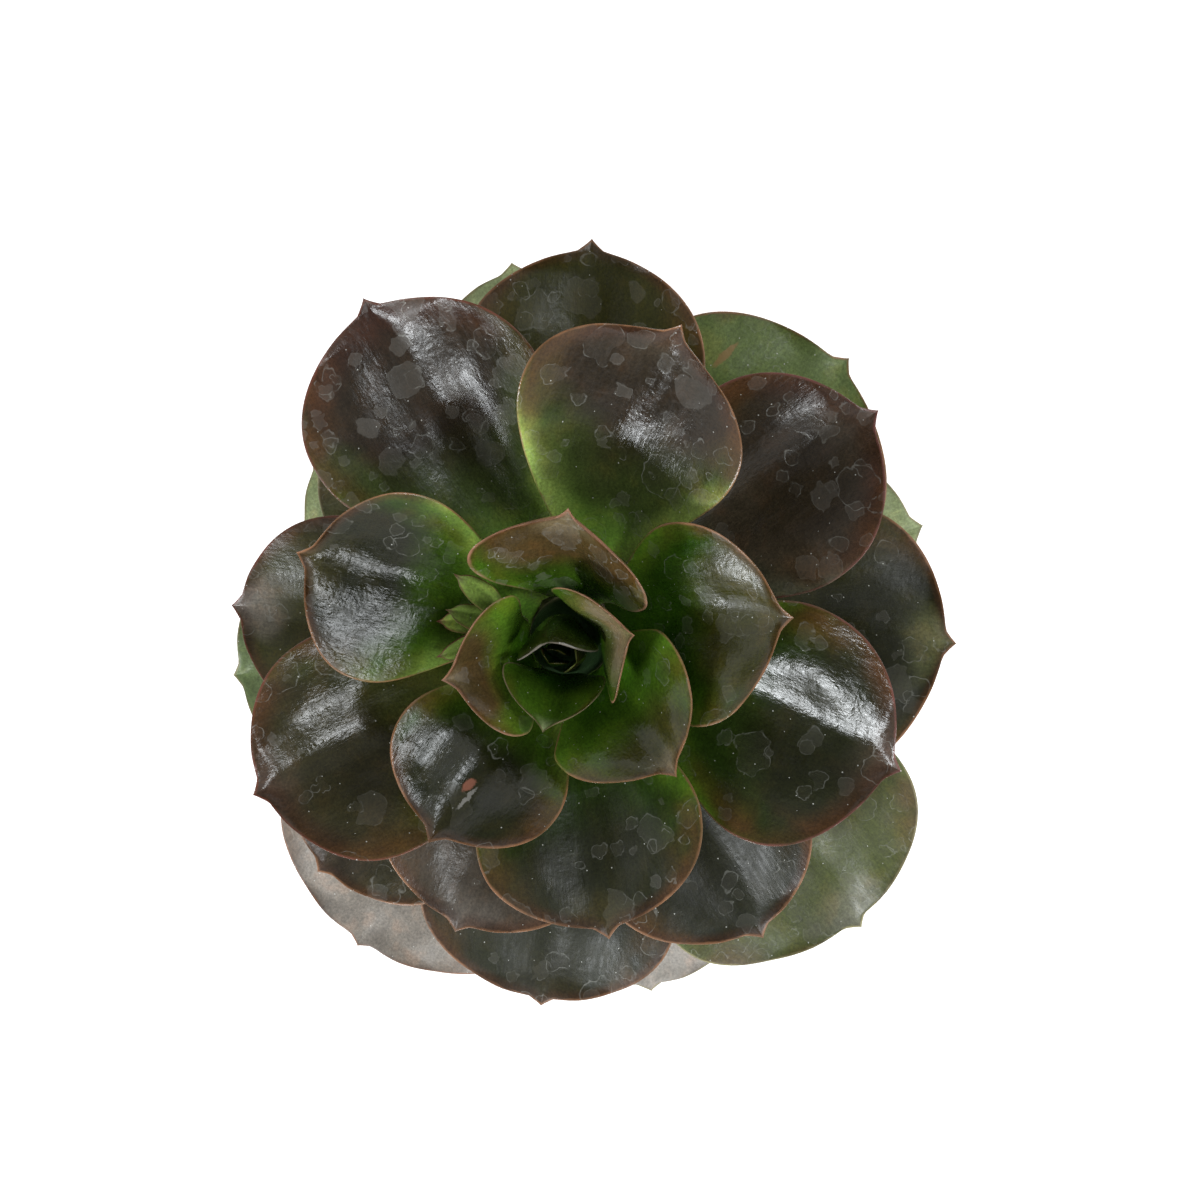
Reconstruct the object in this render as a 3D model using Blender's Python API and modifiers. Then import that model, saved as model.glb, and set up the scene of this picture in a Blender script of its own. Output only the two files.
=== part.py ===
"""Potted echeveria: a rosette of fleshy leaves on a short stem, in soil, in a plain terracotta pot.

Metres, +Z up. The origin is the centre of the pot's underside, and the stem rises along +Z. Each leaf is
a UV sphere whose poles become the leaf's foot and its point: leaf_surface() says where each point goes.
Leaves follow each other round the stem by the golden angle, the youngest first.
"""

from collections import namedtuple
from math import cos, pi, radians, sin

import bmesh
import bpy
import numpy as np

MM = 0.001
GAP = 0.3 * MM  # clearance between pieces that touch

# Pot
POT_HEIGHT = 64 * MM
RIM_RADIUS = 40 * MM
RIM_BAND = 15 * MM
RIM_STEP = 2.2 * MM  # how far the rim band stands out
FOOT_RADIUS = 27 * MM
WALL = 4.5 * MM
FLOOR = 5 * MM
DRAIN_RADIUS = 2.5 * MM
DRAIN_CIRCLE = 14 * MM
DRAINS = 4

# Soil
SOIL_TOP = 56 * MM
SOIL_BUMP = 0.7 * MM

# Stem
STEM_RADIUS = 6.2 * MM
STEM_ROOT = 42 * MM  # height of its lower end, in the soil
SHOULDER = 92.4 * MM  # height where the stem starts to round off
DOME_HEIGHT = 9 * MM
LEAVES_ON_DOME = 9
LEAF_PITCH = 0.85 * MM  # drop from one leaf's foot to the next, below the dome

# Leaves
GOLDEN_ANGLE = 137.5
FIRST_AZIMUTH = 75.5  # of the youngest leaf, degrees anticlockwise from +X
POINT = 1.8 * MM  # length of the small point at a leaf's end
POINT_HALF_WIDTH = 2.0 * MM
ROOT = 1.2 * MM  # length over which a leaf's foot rounds off
AROUND = 12  # sides of a leaf's solid
ALONG = 14

# turn: degrees off the golden angle. length, width, thick: mm, along the leaf and across its widest part.
# rise_foot, rise_tip: degrees above level. cup, fold: degrees that the sides curve and bend up.
# twist: degrees about its own length. sweep: degrees that its point turns sideways. foot: width of its foot,
# and widest: place of its widest part, both as a share of the whole.
Leaf = namedtuple("Leaf", "name turn length width rise_foot rise_tip cup fold twist sweep foot widest thick")
LEAVES = [
    Leaf("bud_leaf_1", 0, 7.0, 4.4, 95, 95, 44, 5, 0, 0, 0.34, 0.60, 1.2),
    Leaf("bud_leaf_2", 30, 8.5, 5.2, 92, 98, 46, 5, 0, 0, 0.34, 0.60, 1.2),
    Leaf("bud_leaf_3", -8, 9.5, 6.2, 86, 88, 54, 6, 0, 0, 0.34, 0.60, 1.3),
    Leaf("leaf_01", -30, 12.5, 14.5, 91, 106, 58, 8, 0, 0, 0.34, 0.60, 1.5),
    Leaf("leaf_02", -1, 13.8, 17.5, 75, 48, 52, 10, 0, -5, 0.40, 0.54, 1.8),
    Leaf("leaf_03", -18, 20.0, 20.5, 80, 52, 40, 10, 12, -24, 0.36, 0.58, 1.9),
    Leaf("leaf_04", 11, 20.2, 22.5, 74, 46, 40, 12, -8, 3, 0.36, 0.58, 2.2),
    Leaf("leaf_05", 5, 26.5, 26.5, 58, 32, 34, 9, 2, -15, 0.50, 0.52, 2.5),
    Leaf("leaf_06", -13, 27.6, 29.5, 66, 44, 44, 6, -3, -3, 0.28, 0.70, 2.6),
    Leaf("leaf_07", 4, 34.0, 28.5, 54, 24, 32, 9, 0, 0, 0.34, 0.67, 2.7),
    Leaf("leaf_08", 4, 37.0, 31.0, 50, 22, 30, 9, 0, -10, 0.34, 0.62, 2.8),
    Leaf("leaf_09", 10, 40.0, 30.5, 46, 20, 30, 9, 0, 2, 0.28, 0.69, 2.9),
    Leaf("leaf_10", -5, 41.0, 35.0, 40, 12, 26, 9, 0, 0, 0.30, 0.66, 3.0),
    Leaf("leaf_11", 10.5, 52.0, 35.0, 42, 16, 26, 9, 0, -14, 0.14, 0.74, 3.0),
    Leaf("leaf_12", 6, 48.5, 36.0, 34, 10, 24, 9, 0, 0, 0.32, 0.64, 3.2),
    Leaf("leaf_13", 6, 49.5, 37.0, 32, 8, 24, 9, 0, -7, 0.28, 0.66, 3.2),
    Leaf("leaf_14", 4, 55.0, 38.0, 30, 8, 22, 9, 0, 0, 0.22, 0.68, 3.2),
    Leaf("leaf_15", -4, 43.5, 34.5, 28, 2, 22, 9, 0, 0, 0.34, 0.64, 3.2),
    Leaf("leaf_16", 8, 53.0, 33.5, 26, 4, 22, 9, 0, -3, 0.22, 0.68, 3.2),
    Leaf("leaf_17", 8, 47.0, 32.0, 24, 0, 20, 9, 0, 0, 0.32, 0.64, 3.2),
    Leaf("leaf_18", -2, 48.5, 35.0, 22, -2, 20, 9, 0, -3, 0.32, 0.64, 3.2),
    Leaf("leaf_19", 4, 53.5, 37.0, 20, -2, 20, 9, 0, 1, 0.30, 0.68, 3.2),
    Leaf("leaf_20", 3, 50.5, 34.0, 18, -5, 20, 9, 0, 0, 0.32, 0.64, 3.2),
    Leaf("leaf_21", 4, 51.0, 41.0, 16, -4, 18, 9, 0, -8, 0.30, 0.66, 3.2),
    Leaf("leaf_22", 6, 44.0, 27.0, 14, -8, 18, 9, 0, 0, 0.32, 0.64, 3.2),
    Leaf("leaf_23", -9, 54.5, 41.0, 12, -6, 18, 9, 0, -1, 0.30, 0.66, 3.2),
    Leaf("leaf_24", -3, 51.0, 44.5, 11, -10, 16, 9, 0, -5, 0.30, 0.64, 3.2),
    Leaf("leaf_25", 2, 51.0, 38.0, 10, -9, 16, 9, 0, 0, 0.30, 0.66, 3.2),
    Leaf("leaf_26", -12, 57.5, 46.0, 8, -9, 16, 9, 0, -4, 0.28, 0.68, 3.2),
    Leaf("leaf_27", 0, 50.0, 33.0, 6, -14, 16, 9, 0, 0, 0.32, 0.64, 3.2),
    Leaf("leaf_28", -7, 60.5, 48.0, 4, -10, 14, 9, 0, 4, 0.26, 0.62, 3.2),
    Leaf("leaf_29", -2, 47.0, 34.0, 2, -16, 14, 9, 0, 0, 0.32, 0.64, 3.2),
    Leaf("leaf_30", -3, 46.0, 33.0, 0, -17, 14, 9, 0, 0, 0.32, 0.64, 3.2),
    Leaf("leaf_31", -15, 56.0, 39.0, 1, -12, 14, 9, 0, 0, 0.30, 0.66, 3.2),
]

# Side shoot: a short stalk above the foot of leaf_09, with small pointed leaves spread in a fan
STALK_RADIUS = 1.1 * MM
STALK_AZIMUTH = 163
STALK_START = 95.2 * MM  # height where it leaves the stem
STALK_LENGTH = 4.5 * MM
STALK_RISE = 48
SIDE_LEAVES = [
    # azimuth, length (mm), rise, twist (degrees), and the foot's place across the stalk's end and above it (mm)
    (134, 12.0, 45, 26, -1.80, 1.10),
    (158, 9.8, 40, 18, 0.25, 0.85),
    (178, 9.5, 34, 0, 0.0, -0.85),
    (201, 10.5, 42, -26, 1.75, 0.0),
]
SIDE_LEAF = Leaf("side_leaf", 0, 9.5, 4.0, 46, 34, 24, 8, 0, 0, 0.38, 0.48, 1.0)
SMALL_SIDES = 8  # sides and rings of a bud or side leaf's solid

CLAY = (0.56, 0.25, 0.14)
POTTING_SOIL = (0.045, 0.032, 0.022)
BARK = (0.20, 0.17, 0.11)
DARK_SKIN = (0.060, 0.038, 0.034)
OLIVE_SKIN = (0.072, 0.068, 0.026)
GREEN_SKIN = (0.105, 0.170, 0.060)
GREY_SKIN = (0.220, 0.200, 0.190)
YOUNG_SKIN = (0.170, 0.270, 0.070)
OLIVE_LEAVES = {"bud_leaf_1", "bud_leaf_2", "bud_leaf_3"} | {f"leaf_{n:02d}" for n in range(1, 12)}
GREEN_LEAVES = {"leaf_22", "leaf_24", "leaf_25", "leaf_26", "leaf_27", "leaf_29", "leaf_30"}
GREY_LEAVES = {"leaf_28", "leaf_31"}


def clear_scene():
    for obj in list(bpy.data.objects):
        bpy.data.objects.remove(obj, do_unlink=True)


def new_collection(name):
    collection = bpy.data.collections.new(name)
    bpy.context.scene.collection.children.link(collection)
    return collection


def add(collection, name, mesh, colour, roughness):
    """One named piece with its own material."""
    obj = bpy.data.objects.new(name, mesh)
    collection.objects.link(obj)
    skin = bpy.data.materials.new(name + "_skin")
    skin.use_nodes = True
    shader = skin.node_tree.nodes["Principled BSDF"]
    shader.inputs["Base Color"].default_value = (*colour, 1)
    shader.inputs["Roughness"].default_value = roughness
    shader.inputs["Metallic"].default_value = 0
    mesh.materials.append(skin)
    return obj


def add_turned(collection, name, profile, steps, colour, roughness):
    """A profile of (radius, height) points, down its outer side, turned about the Z axis."""
    mesh = bpy.data.meshes.new(name)
    mesh.from_pydata([(r, 0, z) for r, z in profile], [(i, i + 1) for i in range(len(profile) - 1)], [])
    obj = add(collection, name, mesh, colour, roughness)
    screw = obj.modifiers.new("turn", "SCREW")
    screw.axis = "Z"
    screw.steps = screw.render_steps = steps
    screw.use_merge_vertices = True
    screw.merge_threshold = 0.00001
    screw.use_smooth_shade = True
    return obj


def apply_modifiers(obj):
    """Replaces the piece's mesh by the one that its modifiers make."""
    graph = bpy.context.evaluated_depsgraph_get()
    made = bpy.data.meshes.new_from_object(obj.evaluated_get(graph))
    obj.modifiers.clear()
    obj.data = made


def arc(centre, radius, start, end, points):
    """(radius, height) points on a circle of the profile, from one angle in degrees to another."""
    angles = [radians(start + (end - start) * i / (points - 1)) for i in range(points)]
    return [(centre[0] + radius * cos(a), centre[1] + radius * sin(a)) for a in angles]


def inner_radius(height):
    """Radius of the pot's inside at a height."""
    share = (height - FLOOR) / (POT_HEIGHT - FLOOR)
    bottom = FOOT_RADIUS - WALL + 0.5 * MM
    return bottom + share * (RIM_RADIUS - WALL - bottom)


def make_pot(collection, cutters):
    """Floor, tapered wall and a rim band that stands out, with drain holes through the floor."""
    lip = WALL / 2 - 0.4 * MM
    band_foot = POT_HEIGHT - RIM_BAND
    below_band = RIM_RADIUS - RIM_STEP - 0.6 * MM
    edge = 1.0 * MM
    profile = [(0, FLOOR), (inner_radius(FLOOR) - edge, FLOOR), (inner_radius(FLOOR + edge), FLOOR + edge)]
    profile += arc((RIM_RADIUS - WALL + lip, POT_HEIGHT - lip), lip, 180, 90, 4)
    profile += arc((RIM_RADIUS - lip, POT_HEIGHT - lip), lip, 90, 0, 4)
    profile += [(RIM_RADIUS - 0.6 * MM, band_foot + edge), (RIM_RADIUS - 0.6 * MM - edge, band_foot)]
    profile += [(below_band, band_foot - 0.6 * MM), (FOOT_RADIUS, edge), (FOOT_RADIUS - edge, 0), (0, 0)]
    pot = add_turned(collection, "pot", profile, 48, CLAY, 0.85)
    for number in range(DRAINS):
        angle = 2 * pi * (number + 0.5) / DRAINS
        hole = bmesh.new()
        bmesh.ops.create_cone(
            hole, cap_ends=True, segments=16, radius1=DRAIN_RADIUS, radius2=DRAIN_RADIUS, depth=3 * FLOOR
        )
        mesh = bpy.data.meshes.new(f"drain_cutter_{number + 1}")
        hole.to_mesh(mesh)
        hole.free()
        cutter = bpy.data.objects.new(mesh.name, mesh)
        cutter.location = (DRAIN_CIRCLE * cos(angle), DRAIN_CIRCLE * sin(angle), FLOOR / 2)
        cutter.hide_render = True
        cutter.display_type = "WIRE"
        cutters.objects.link(cutter)
        cut = pot.modifiers.new("drain", "BOOLEAN")
        cut.operation = "DIFFERENCE"
        cut.object = cutter
    return pot


def make_soil(collection):
    """Fills the pot to a little below its rim, with a pocket for the stem and a slightly uneven top."""
    pocket = STEM_RADIUS + GAP
    low, outer = FLOOR + GAP, inner_radius(SOIL_TOP) - GAP
    corner = 1.4 * MM
    profile = [(0, STEM_ROOT - GAP), (pocket, STEM_ROOT - GAP), (pocket, SOIL_TOP)]
    profile += [(pocket + (outer - pocket) * share, SOIL_TOP) for share in (0.17, 0.36, 0.55, 0.73, 0.88)]
    profile += [(outer, SOIL_TOP), (inner_radius(FLOOR + corner) - GAP, FLOOR + corner)]
    profile += [(inner_radius(FLOOR) - corner, low), (0, low)]
    soil = add_turned(collection, "soil", profile, 40, POTTING_SOIL, 1.0)
    apply_modifiers(soil)
    for vertex in soil.data.vertices:
        x, y, z = vertex.co / MM
        if abs(z * MM - SOIL_TOP) < GAP:
            wave = sin(0.31 * x + 1.0) * cos(0.27 * y) + 0.6 * sin(0.55 * y + 0.42 * x)
            vertex.co.z += SOIL_BUMP * (wave / 1.6 - 1) * 0.5
    return soil


def dome_angle(number):
    """Angle from the stem's top, radians, at which the leaf of this number sits on the dome."""
    return radians(90 * (number + 1) / (LEAVES_ON_DOME + 1))


def make_stem(collection):
    """A thick upright stem that rounds off in a dome."""
    steps = [radians(a) for a in (0, 12, 24, 36, 48, 60, 70, 80, 90)]
    profile = [(STEM_RADIUS * sin(a), SHOULDER + DOME_HEIGHT * cos(a)) for a in steps]
    profile += [(STEM_RADIUS, STEM_ROOT + 1 * MM), (STEM_RADIUS - 1 * MM, STEM_ROOT), (0, STEM_ROOT)]
    return add_turned(collection, "stem", profile, 24, BARK, 0.8)


def leaf_seat(number, rise):
    """(radius, height) of a leaf's foot, just clear of the stem's surface."""
    clear = GAP + 0.25 * MM * max(0, sin(radians(rise)))
    if number < LEAVES_ON_DOME:
        angle = dome_angle(number)
        return (STEM_RADIUS + clear) * sin(angle), SHOULDER + (DOME_HEIGHT + clear) * cos(angle)
    return STEM_RADIUS + clear, SHOULDER - LEAF_PITCH * (number - LEAVES_ON_DOME)


def ramp(x):
    """0 below 0, 1 above 1, and a smooth step between."""
    x = np.clip(x, 0, 1)
    return x * x * (3 - 2 * x)


def blade_half_width(leaf, along):
    """Grows from the foot to the widest part, then rounds off, and a short point with hollow sides ends it."""
    length = leaf.length * MM
    point_length = min(POINT, 0.1 * length)
    point_width = min(POINT_HALF_WIDTH, 0.11 * leaf.width * MM)
    share = along / (1 - point_length / length)
    grow = leaf.foot + (1 - leaf.foot) * np.sin(pi / 2 * np.clip(share / leaf.widest, 0, 1) ** 1.7)
    fall = np.clip((share - leaf.widest) / (1 - leaf.widest), 0, 1)
    width = leaf.width * MM / 2 * np.where(share < leaf.widest, grow, (1 - fall**2.4) ** 0.62)
    point = point_width * np.clip((1 - along) * length / point_length, 0, 1.6) ** 1.2 * ramp((along - 0.6) / 0.2)
    return (width**3 + point**3) ** (1 / 3) * foot_round(leaf, along)


def foot_round(leaf, along):
    return np.sqrt(1 - (1 - np.clip(along * leaf.length * MM / ROOT, 0, 1)) ** 2)


def thickness(leaf, along):
    """Stout near the foot and thin at the end."""
    body = 0.72 + 0.28 * np.sin(pi * along**0.9)
    end = np.sqrt(np.clip((1 - along) * leaf.length * MM / POINT, 0, 1))
    return leaf.thick * MM * body * (1 - 0.72 * ramp((along - 0.35) / 0.65)) * foot_round(leaf, along) * end


def leaf_surface(leaf, azimuth, seat, along, turn):
    """Points of a leaf: along runs 0 to 1 from foot to point, and turn goes round its section, in radians.

    The midrib starts at seat and its rise and heading change steadily along it. Across it, the blade follows
    an arc (cup) with a fold at the midrib and a low swelling on each side of it. The upper skin lies a third
    of the thickness above that middle surface, and the lower skin two thirds below.
    """
    s = np.linspace(0, 1, 241)
    heading = np.radians(azimuth + leaf.sweep * s**1.5)
    rise = np.radians(leaf.rise_foot + (leaf.rise_tip - leaf.rise_foot) * s)
    forward = np.stack([np.cos(rise) * np.cos(heading), np.cos(rise) * np.sin(heading), np.sin(rise)], 1)
    midrib = np.zeros_like(forward)
    midrib[1:] = np.cumsum((forward[1:] + forward[:-1]) / 2, 0) * leaf.length * MM / (len(s) - 1)
    midrib += seat
    side = np.stack([-np.sin(heading), np.cos(heading), 0 * heading], 1)
    up = np.cross(forward, side)
    twist = np.radians(leaf.twist * ramp(s / 0.5))[:, None]
    side, up = np.cos(twist) * side + np.sin(twist) * up, np.cos(twist) * up - np.sin(twist) * side
    midrib, side, up = (
        np.stack([np.interp(along, s, line[:, axis]) for axis in range(3)], 1) for line in (midrib, side, up)
    )

    half = blade_half_width(leaf, along)
    stem_hug = min(1.2, leaf.width * MM / 2 * leaf.foot / STEM_RADIUS) * max(0, sin(radians(leaf.rise_foot)))
    curl = stem_hug + (radians(leaf.cup) - stem_hug) * ramp(along / 0.4) + 0.0001
    across = np.cos(turn)
    outward = half * np.sin(curl * across) / curl
    height = half * (1 - np.cos(curl * across)) / curl
    height += half * np.tan(radians(leaf.fold)) * ramp(along / 0.5) * (np.sqrt(across**2 + 0.02) - 0.141)
    height += 0.04 * half * ramp(along / 0.5) * np.sin(pi * np.abs(across)) ** 2
    skin = np.sin(turn)
    height += thickness(leaf, along) * np.where(skin > 0, 0.36, 0.64) * np.sign(skin) * np.abs(skin) ** 0.85
    return midrib + outward[:, None] * side + height[:, None] * up


def make_leaf(collection, leaf, azimuth, seat, around, rings, colour):
    """A UV sphere whose lower pole becomes the leaf's foot and whose upper pole becomes its point."""
    shape = bmesh.new()
    bmesh.ops.create_uvsphere(shape, u_segments=around, v_segments=rings, radius=1)
    ball = np.array([vertex.co for vertex in shape.verts])
    along = np.clip((1 + ball[:, 2]) / 2, 0, 1)
    points = leaf_surface(leaf, azimuth, np.array(seat), along, np.arctan2(ball[:, 1], ball[:, 0]))
    for vertex, point in zip(shape.verts, points):
        vertex.co = point
    bmesh.ops.recalc_face_normals(shape, faces=shape.faces)
    mesh = bpy.data.meshes.new(leaf.name)
    shape.to_mesh(mesh)
    shape.free()
    mesh.shade_smooth()
    return add(collection, leaf.name, mesh, colour, 0.45)


def skin_colour(name):
    if name in GREEN_LEAVES:
        return GREEN_SKIN
    if name in GREY_LEAVES:
        return GREY_SKIN
    return OLIVE_SKIN if name in OLIVE_LEAVES else DARK_SKIN


def make_rosette(collection):
    for number, leaf in enumerate(LEAVES):
        azimuth = FIRST_AZIMUTH + GOLDEN_ANGLE * number + leaf.turn
        radius, height = leaf_seat(number, leaf.rise_foot)
        seat = (radius * cos(radians(azimuth)), radius * sin(radians(azimuth)), height)
        small = leaf.name.startswith("bud")
        sides, rings = (SMALL_SIDES, SMALL_SIDES) if small else (AROUND, ALONG)
        make_leaf(collection, leaf, azimuth, seat, sides, rings, skin_colour(leaf.name))


def make_side_shoot(collection):
    """The stalk leaves the stem sideways, and its leaves start round its end."""
    out = np.array([cos(radians(STALK_AZIMUTH)), sin(radians(STALK_AZIMUTH)), 0])
    rise = radians(STALK_RISE)
    forward = out * cos(rise) + np.array([0, 0, sin(rise)])
    stem_here = STEM_RADIUS * np.sqrt(1 - ((STALK_START - SHOULDER) / DOME_HEIGHT) ** 2)
    start = out * (stem_here + GAP + STALK_RADIUS * sin(rise)) + np.array([0, 0, STALK_START])
    end = start + forward * STALK_LENGTH
    curve = bpy.data.curves.new("side_stalk", "CURVE")
    curve.dimensions = "3D"
    curve.bevel_depth = STALK_RADIUS
    curve.bevel_resolution = 2
    curve.use_fill_caps = True
    spline = curve.splines.new("POLY")
    spline.points.add(2)
    for point, place in zip(spline.points, (start, (start + end) / 2, end)):
        point.co = (*place, 1)
    add(collection, "side_stalk", curve, YOUNG_SKIN, 0.5)
    side = np.array([-out[1], out[0], 0])
    above = np.cross(forward, side)
    for number, (azimuth, length, leaf_rise, twist, aside, over) in enumerate(SIDE_LEAVES, 1):
        leaf = SIDE_LEAF._replace(name=f"side_leaf_{number}", length=length, rise_foot=leaf_rise, twist=twist)
        seat = end + forward * 2 * GAP + (side * aside + above * over) * MM
        make_leaf(collection, leaf, azimuth, seat, SMALL_SIDES, SMALL_SIDES, YOUNG_SKIN)


def main():
    clear_scene()
    plant = new_collection("potted_echeveria")
    cutters = new_collection("cutters")
    make_pot(plant, cutters)
    make_soil(plant)
    make_stem(plant)
    make_rosette(plant)
    make_side_shoot(plant)


main()
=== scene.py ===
"""Potted echeveria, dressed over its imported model: fleshy leaves, side shoot, stem, soil with grit, clay pot.

Metres, +Z up; lengths in tables are millimetres. Each leaf is a closed skin over a grid: one parameter runs
from its foot to its point, and the other goes round its section. Pot, soil and stem are turned profiles.
"""

from collections import namedtuple
from math import cos, pi, radians, sin

import bpy
import numpy as np
from mathutils import Matrix, Vector


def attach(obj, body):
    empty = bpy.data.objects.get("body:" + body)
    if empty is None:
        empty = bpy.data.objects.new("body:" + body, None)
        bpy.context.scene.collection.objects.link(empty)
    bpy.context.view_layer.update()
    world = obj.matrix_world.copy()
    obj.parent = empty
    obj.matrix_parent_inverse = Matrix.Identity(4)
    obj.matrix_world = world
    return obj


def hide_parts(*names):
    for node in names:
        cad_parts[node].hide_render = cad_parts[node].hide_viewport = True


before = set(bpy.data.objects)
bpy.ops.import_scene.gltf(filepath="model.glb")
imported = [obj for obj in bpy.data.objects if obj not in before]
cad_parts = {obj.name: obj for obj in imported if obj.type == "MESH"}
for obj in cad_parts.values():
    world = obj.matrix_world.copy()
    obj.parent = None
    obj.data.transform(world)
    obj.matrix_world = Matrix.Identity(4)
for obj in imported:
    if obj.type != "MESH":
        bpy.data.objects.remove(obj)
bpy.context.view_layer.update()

MM = 0.001
GAP = 0.3 * MM  # clearance between pieces that touch

# Pot and soil
POT_HEIGHT = 64 * MM
RIM_RADIUS = 40 * MM
RIM_BAND = 15 * MM
RIM_STEP = 2.2 * MM  # how far the rim band stands out
FOOT_RADIUS = 27 * MM
WALL = 4.5 * MM
FLOOR = 5 * MM
DRAIN_RADIUS = 2.5 * MM
DRAIN_CIRCLE = 14 * MM
DRAINS = 4
SOIL_TOP = 56 * MM

# Stem
STEM_RADIUS = 6.2 * MM
STEM_ROOT = 42 * MM  # height of its lower end, in the soil
SHOULDER = 92.4 * MM  # height where the stem starts to round off
DOME_HEIGHT = 9 * MM
LEAVES_ON_DOME = 9  # the youngest ones
LEAF_PITCH = 0.85 * MM  # drop from one leaf's foot to the next, below the dome
OLD_LEAVES = 28  # scars of leaves that have dropped
TOP_SCAR = 73.5 * MM
SCAR_PITCH = 0.65 * MM
SCAR_HALF_WIDTH = 3.1 * MM
SCAR_HALF_HEIGHT = 1.1 * MM

# Leaves
GOLDEN_ANGLE = 137.5
FIRST_AZIMUTH = 75.5  # of the youngest leaf, degrees anticlockwise from +X
POINT = 1.8 * MM  # length of the small point at a leaf's end
POINT_HALF_WIDTH = 2.0 * MM
ROOT = 1.2 * MM  # length over which a leaf's foot rounds off
SMALL_LEAF = 15  # width in mm up to which a leaf has no midrib relief or waves
BLADE_SPACING = 90  # from one leaf's skin pattern to the next, mm
LOWER_SIDE = 200  # from the upper skin's pattern to the lower skin's, mm
SMALL_GRID = (48, 40)  # rows along a leaf, and columns round its section
LARGE_GRID = (104, 84)
LEAF_GLOSS = 0.38  # the skin's specular level

# turn: degrees off the golden angle. length, width, thick: mm. rise_foot, rise_tip: degrees above level.
# cup, fold: degrees that the sides curve and bend up. twist: about its own length. sweep: its point sideways.
# foot: width of its foot, and widest: place of its widest part, both as a share of the whole.
# A row that stops early has the usual values for the rest.
fields = "name turn length width rise_foot rise_tip cup fold twist sweep foot widest thick"
Leaf = namedtuple("Leaf", fields, defaults=(9, 0, 0, 0.32, 0.64, 3.2))
LEAVES = [
    Leaf("bud_leaf_1", 0, 7.0, 4.4, 95, 95, 44, 5, 0, 0, 0.34, 0.60, 1.2),
    Leaf("bud_leaf_2", 30, 8.5, 5.2, 92, 98, 46, 5, 0, 0, 0.34, 0.60, 1.2),
    Leaf("bud_leaf_3", -8, 9.5, 6.2, 86, 88, 54, 6, 0, 0, 0.34, 0.60, 1.3),
    Leaf("leaf_01", -30, 12.5, 14.5, 91, 106, 58, 8, 0, 0, 0.34, 0.60, 1.5),
    Leaf("leaf_02", -1, 13.8, 17.5, 75, 48, 52, 10, 0, -5, 0.40, 0.54, 1.8),
    Leaf("leaf_03", -18, 20.0, 20.5, 80, 52, 40, 10, 12, -24, 0.36, 0.58, 1.9),
    Leaf("leaf_04", 11, 20.2, 22.5, 74, 46, 40, 12, -8, 3, 0.36, 0.58, 2.2),
    Leaf("leaf_05", 5, 26.5, 26.5, 58, 32, 34, 9, 2, -15, 0.50, 0.52, 2.5),
    Leaf("leaf_06", -13, 27.6, 29.5, 66, 44, 44, 6, -3, -3, 0.28, 0.70, 2.6),
    Leaf("leaf_07", 4, 34.0, 28.5, 54, 24, 32, 9, 0, 0, 0.34, 0.67, 2.7),
    Leaf("leaf_08", 4, 37.0, 31.0, 50, 25, 30, 9, -3, -10, 0.34, 0.62, 2.8),
    Leaf("leaf_09", 10, 40.0, 31.3, 46, 20, 39, 3, 0, 2, 0.28, 0.69, 2.9),
    Leaf("leaf_10", -5, 41.0, 35.0, 40, 12, 26, 9, 0, 0, 0.30, 0.66, 3.0),
    Leaf("leaf_11", 10.5, 52.0, 35.8, 42, 16, 35, 3, 0, -14, 0.14, 0.74, 3.0),
    Leaf("leaf_12", 6, 48.5, 36.0, 34, 10, 24),
    Leaf("leaf_13", 6, 49.5, 37.0, 32, 8, 24, 9, 0, -7, 0.28, 0.66),
    Leaf("leaf_14", 4, 55.0, 38.0, 30, 8, 22, 9, 0, 0, 0.22, 0.68),
    Leaf("leaf_15", -4, 43.5, 34.5, 28, 2, 22, 9, 0, 0, 0.34, 0.64),
    Leaf("leaf_16", 8, 53.0, 33.5, 26, 4, 22, 9, 0, -3, 0.22, 0.68),
    Leaf("leaf_17", 8, 47.0, 32.0, 24, 0, 20),
    Leaf("leaf_18", -2, 48.5, 35.0, 22, -2, 20, 9, 0, -3, 0.32, 0.64),
    Leaf("leaf_19", 4, 53.5, 37.0, 20, -2, 20, 9, 0, 1, 0.30, 0.68),
    Leaf("leaf_20", 3, 50.5, 34.0, 18, -5, 20),
    Leaf("leaf_21", 4, 51.0, 41.0, 16, -4, 18, 9, 0, -8, 0.30, 0.66),
    Leaf("leaf_22", 6, 44.0, 27.0, 14, -8, 18),
    Leaf("leaf_23", -9, 54.5, 41.0, 12, -6, 18, 9, 0, -1, 0.30, 0.66),
    Leaf("leaf_24", -3, 51.0, 44.5, 11, -10, 16, 9, 0, -5, 0.30, 0.64),
    Leaf("leaf_25", 2, 51.0, 38.0, 10, -9, 16, 9, 0, 0, 0.30, 0.66),
    Leaf("leaf_26", -12, 57.5, 46.0, 8, -9, 16, 9, 0, -4, 0.28, 0.68),
    Leaf("leaf_27", 0, 50.0, 33.0, 6, -14, 16),
    Leaf("leaf_28", -7, 60.5, 48.0, 4, -10, 14, 9, 0, 4, 0.26, 0.62),
    Leaf("leaf_29", -2, 47.0, 34.0, 2, -16, 14),
    Leaf("leaf_30", -3, 46.0, 33.0, 0, -17, 14),
    Leaf("leaf_31", -15, 56.0, 39.0, 1, -12, 14, 9, 0, 0, 0.30, 0.66),
]

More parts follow.
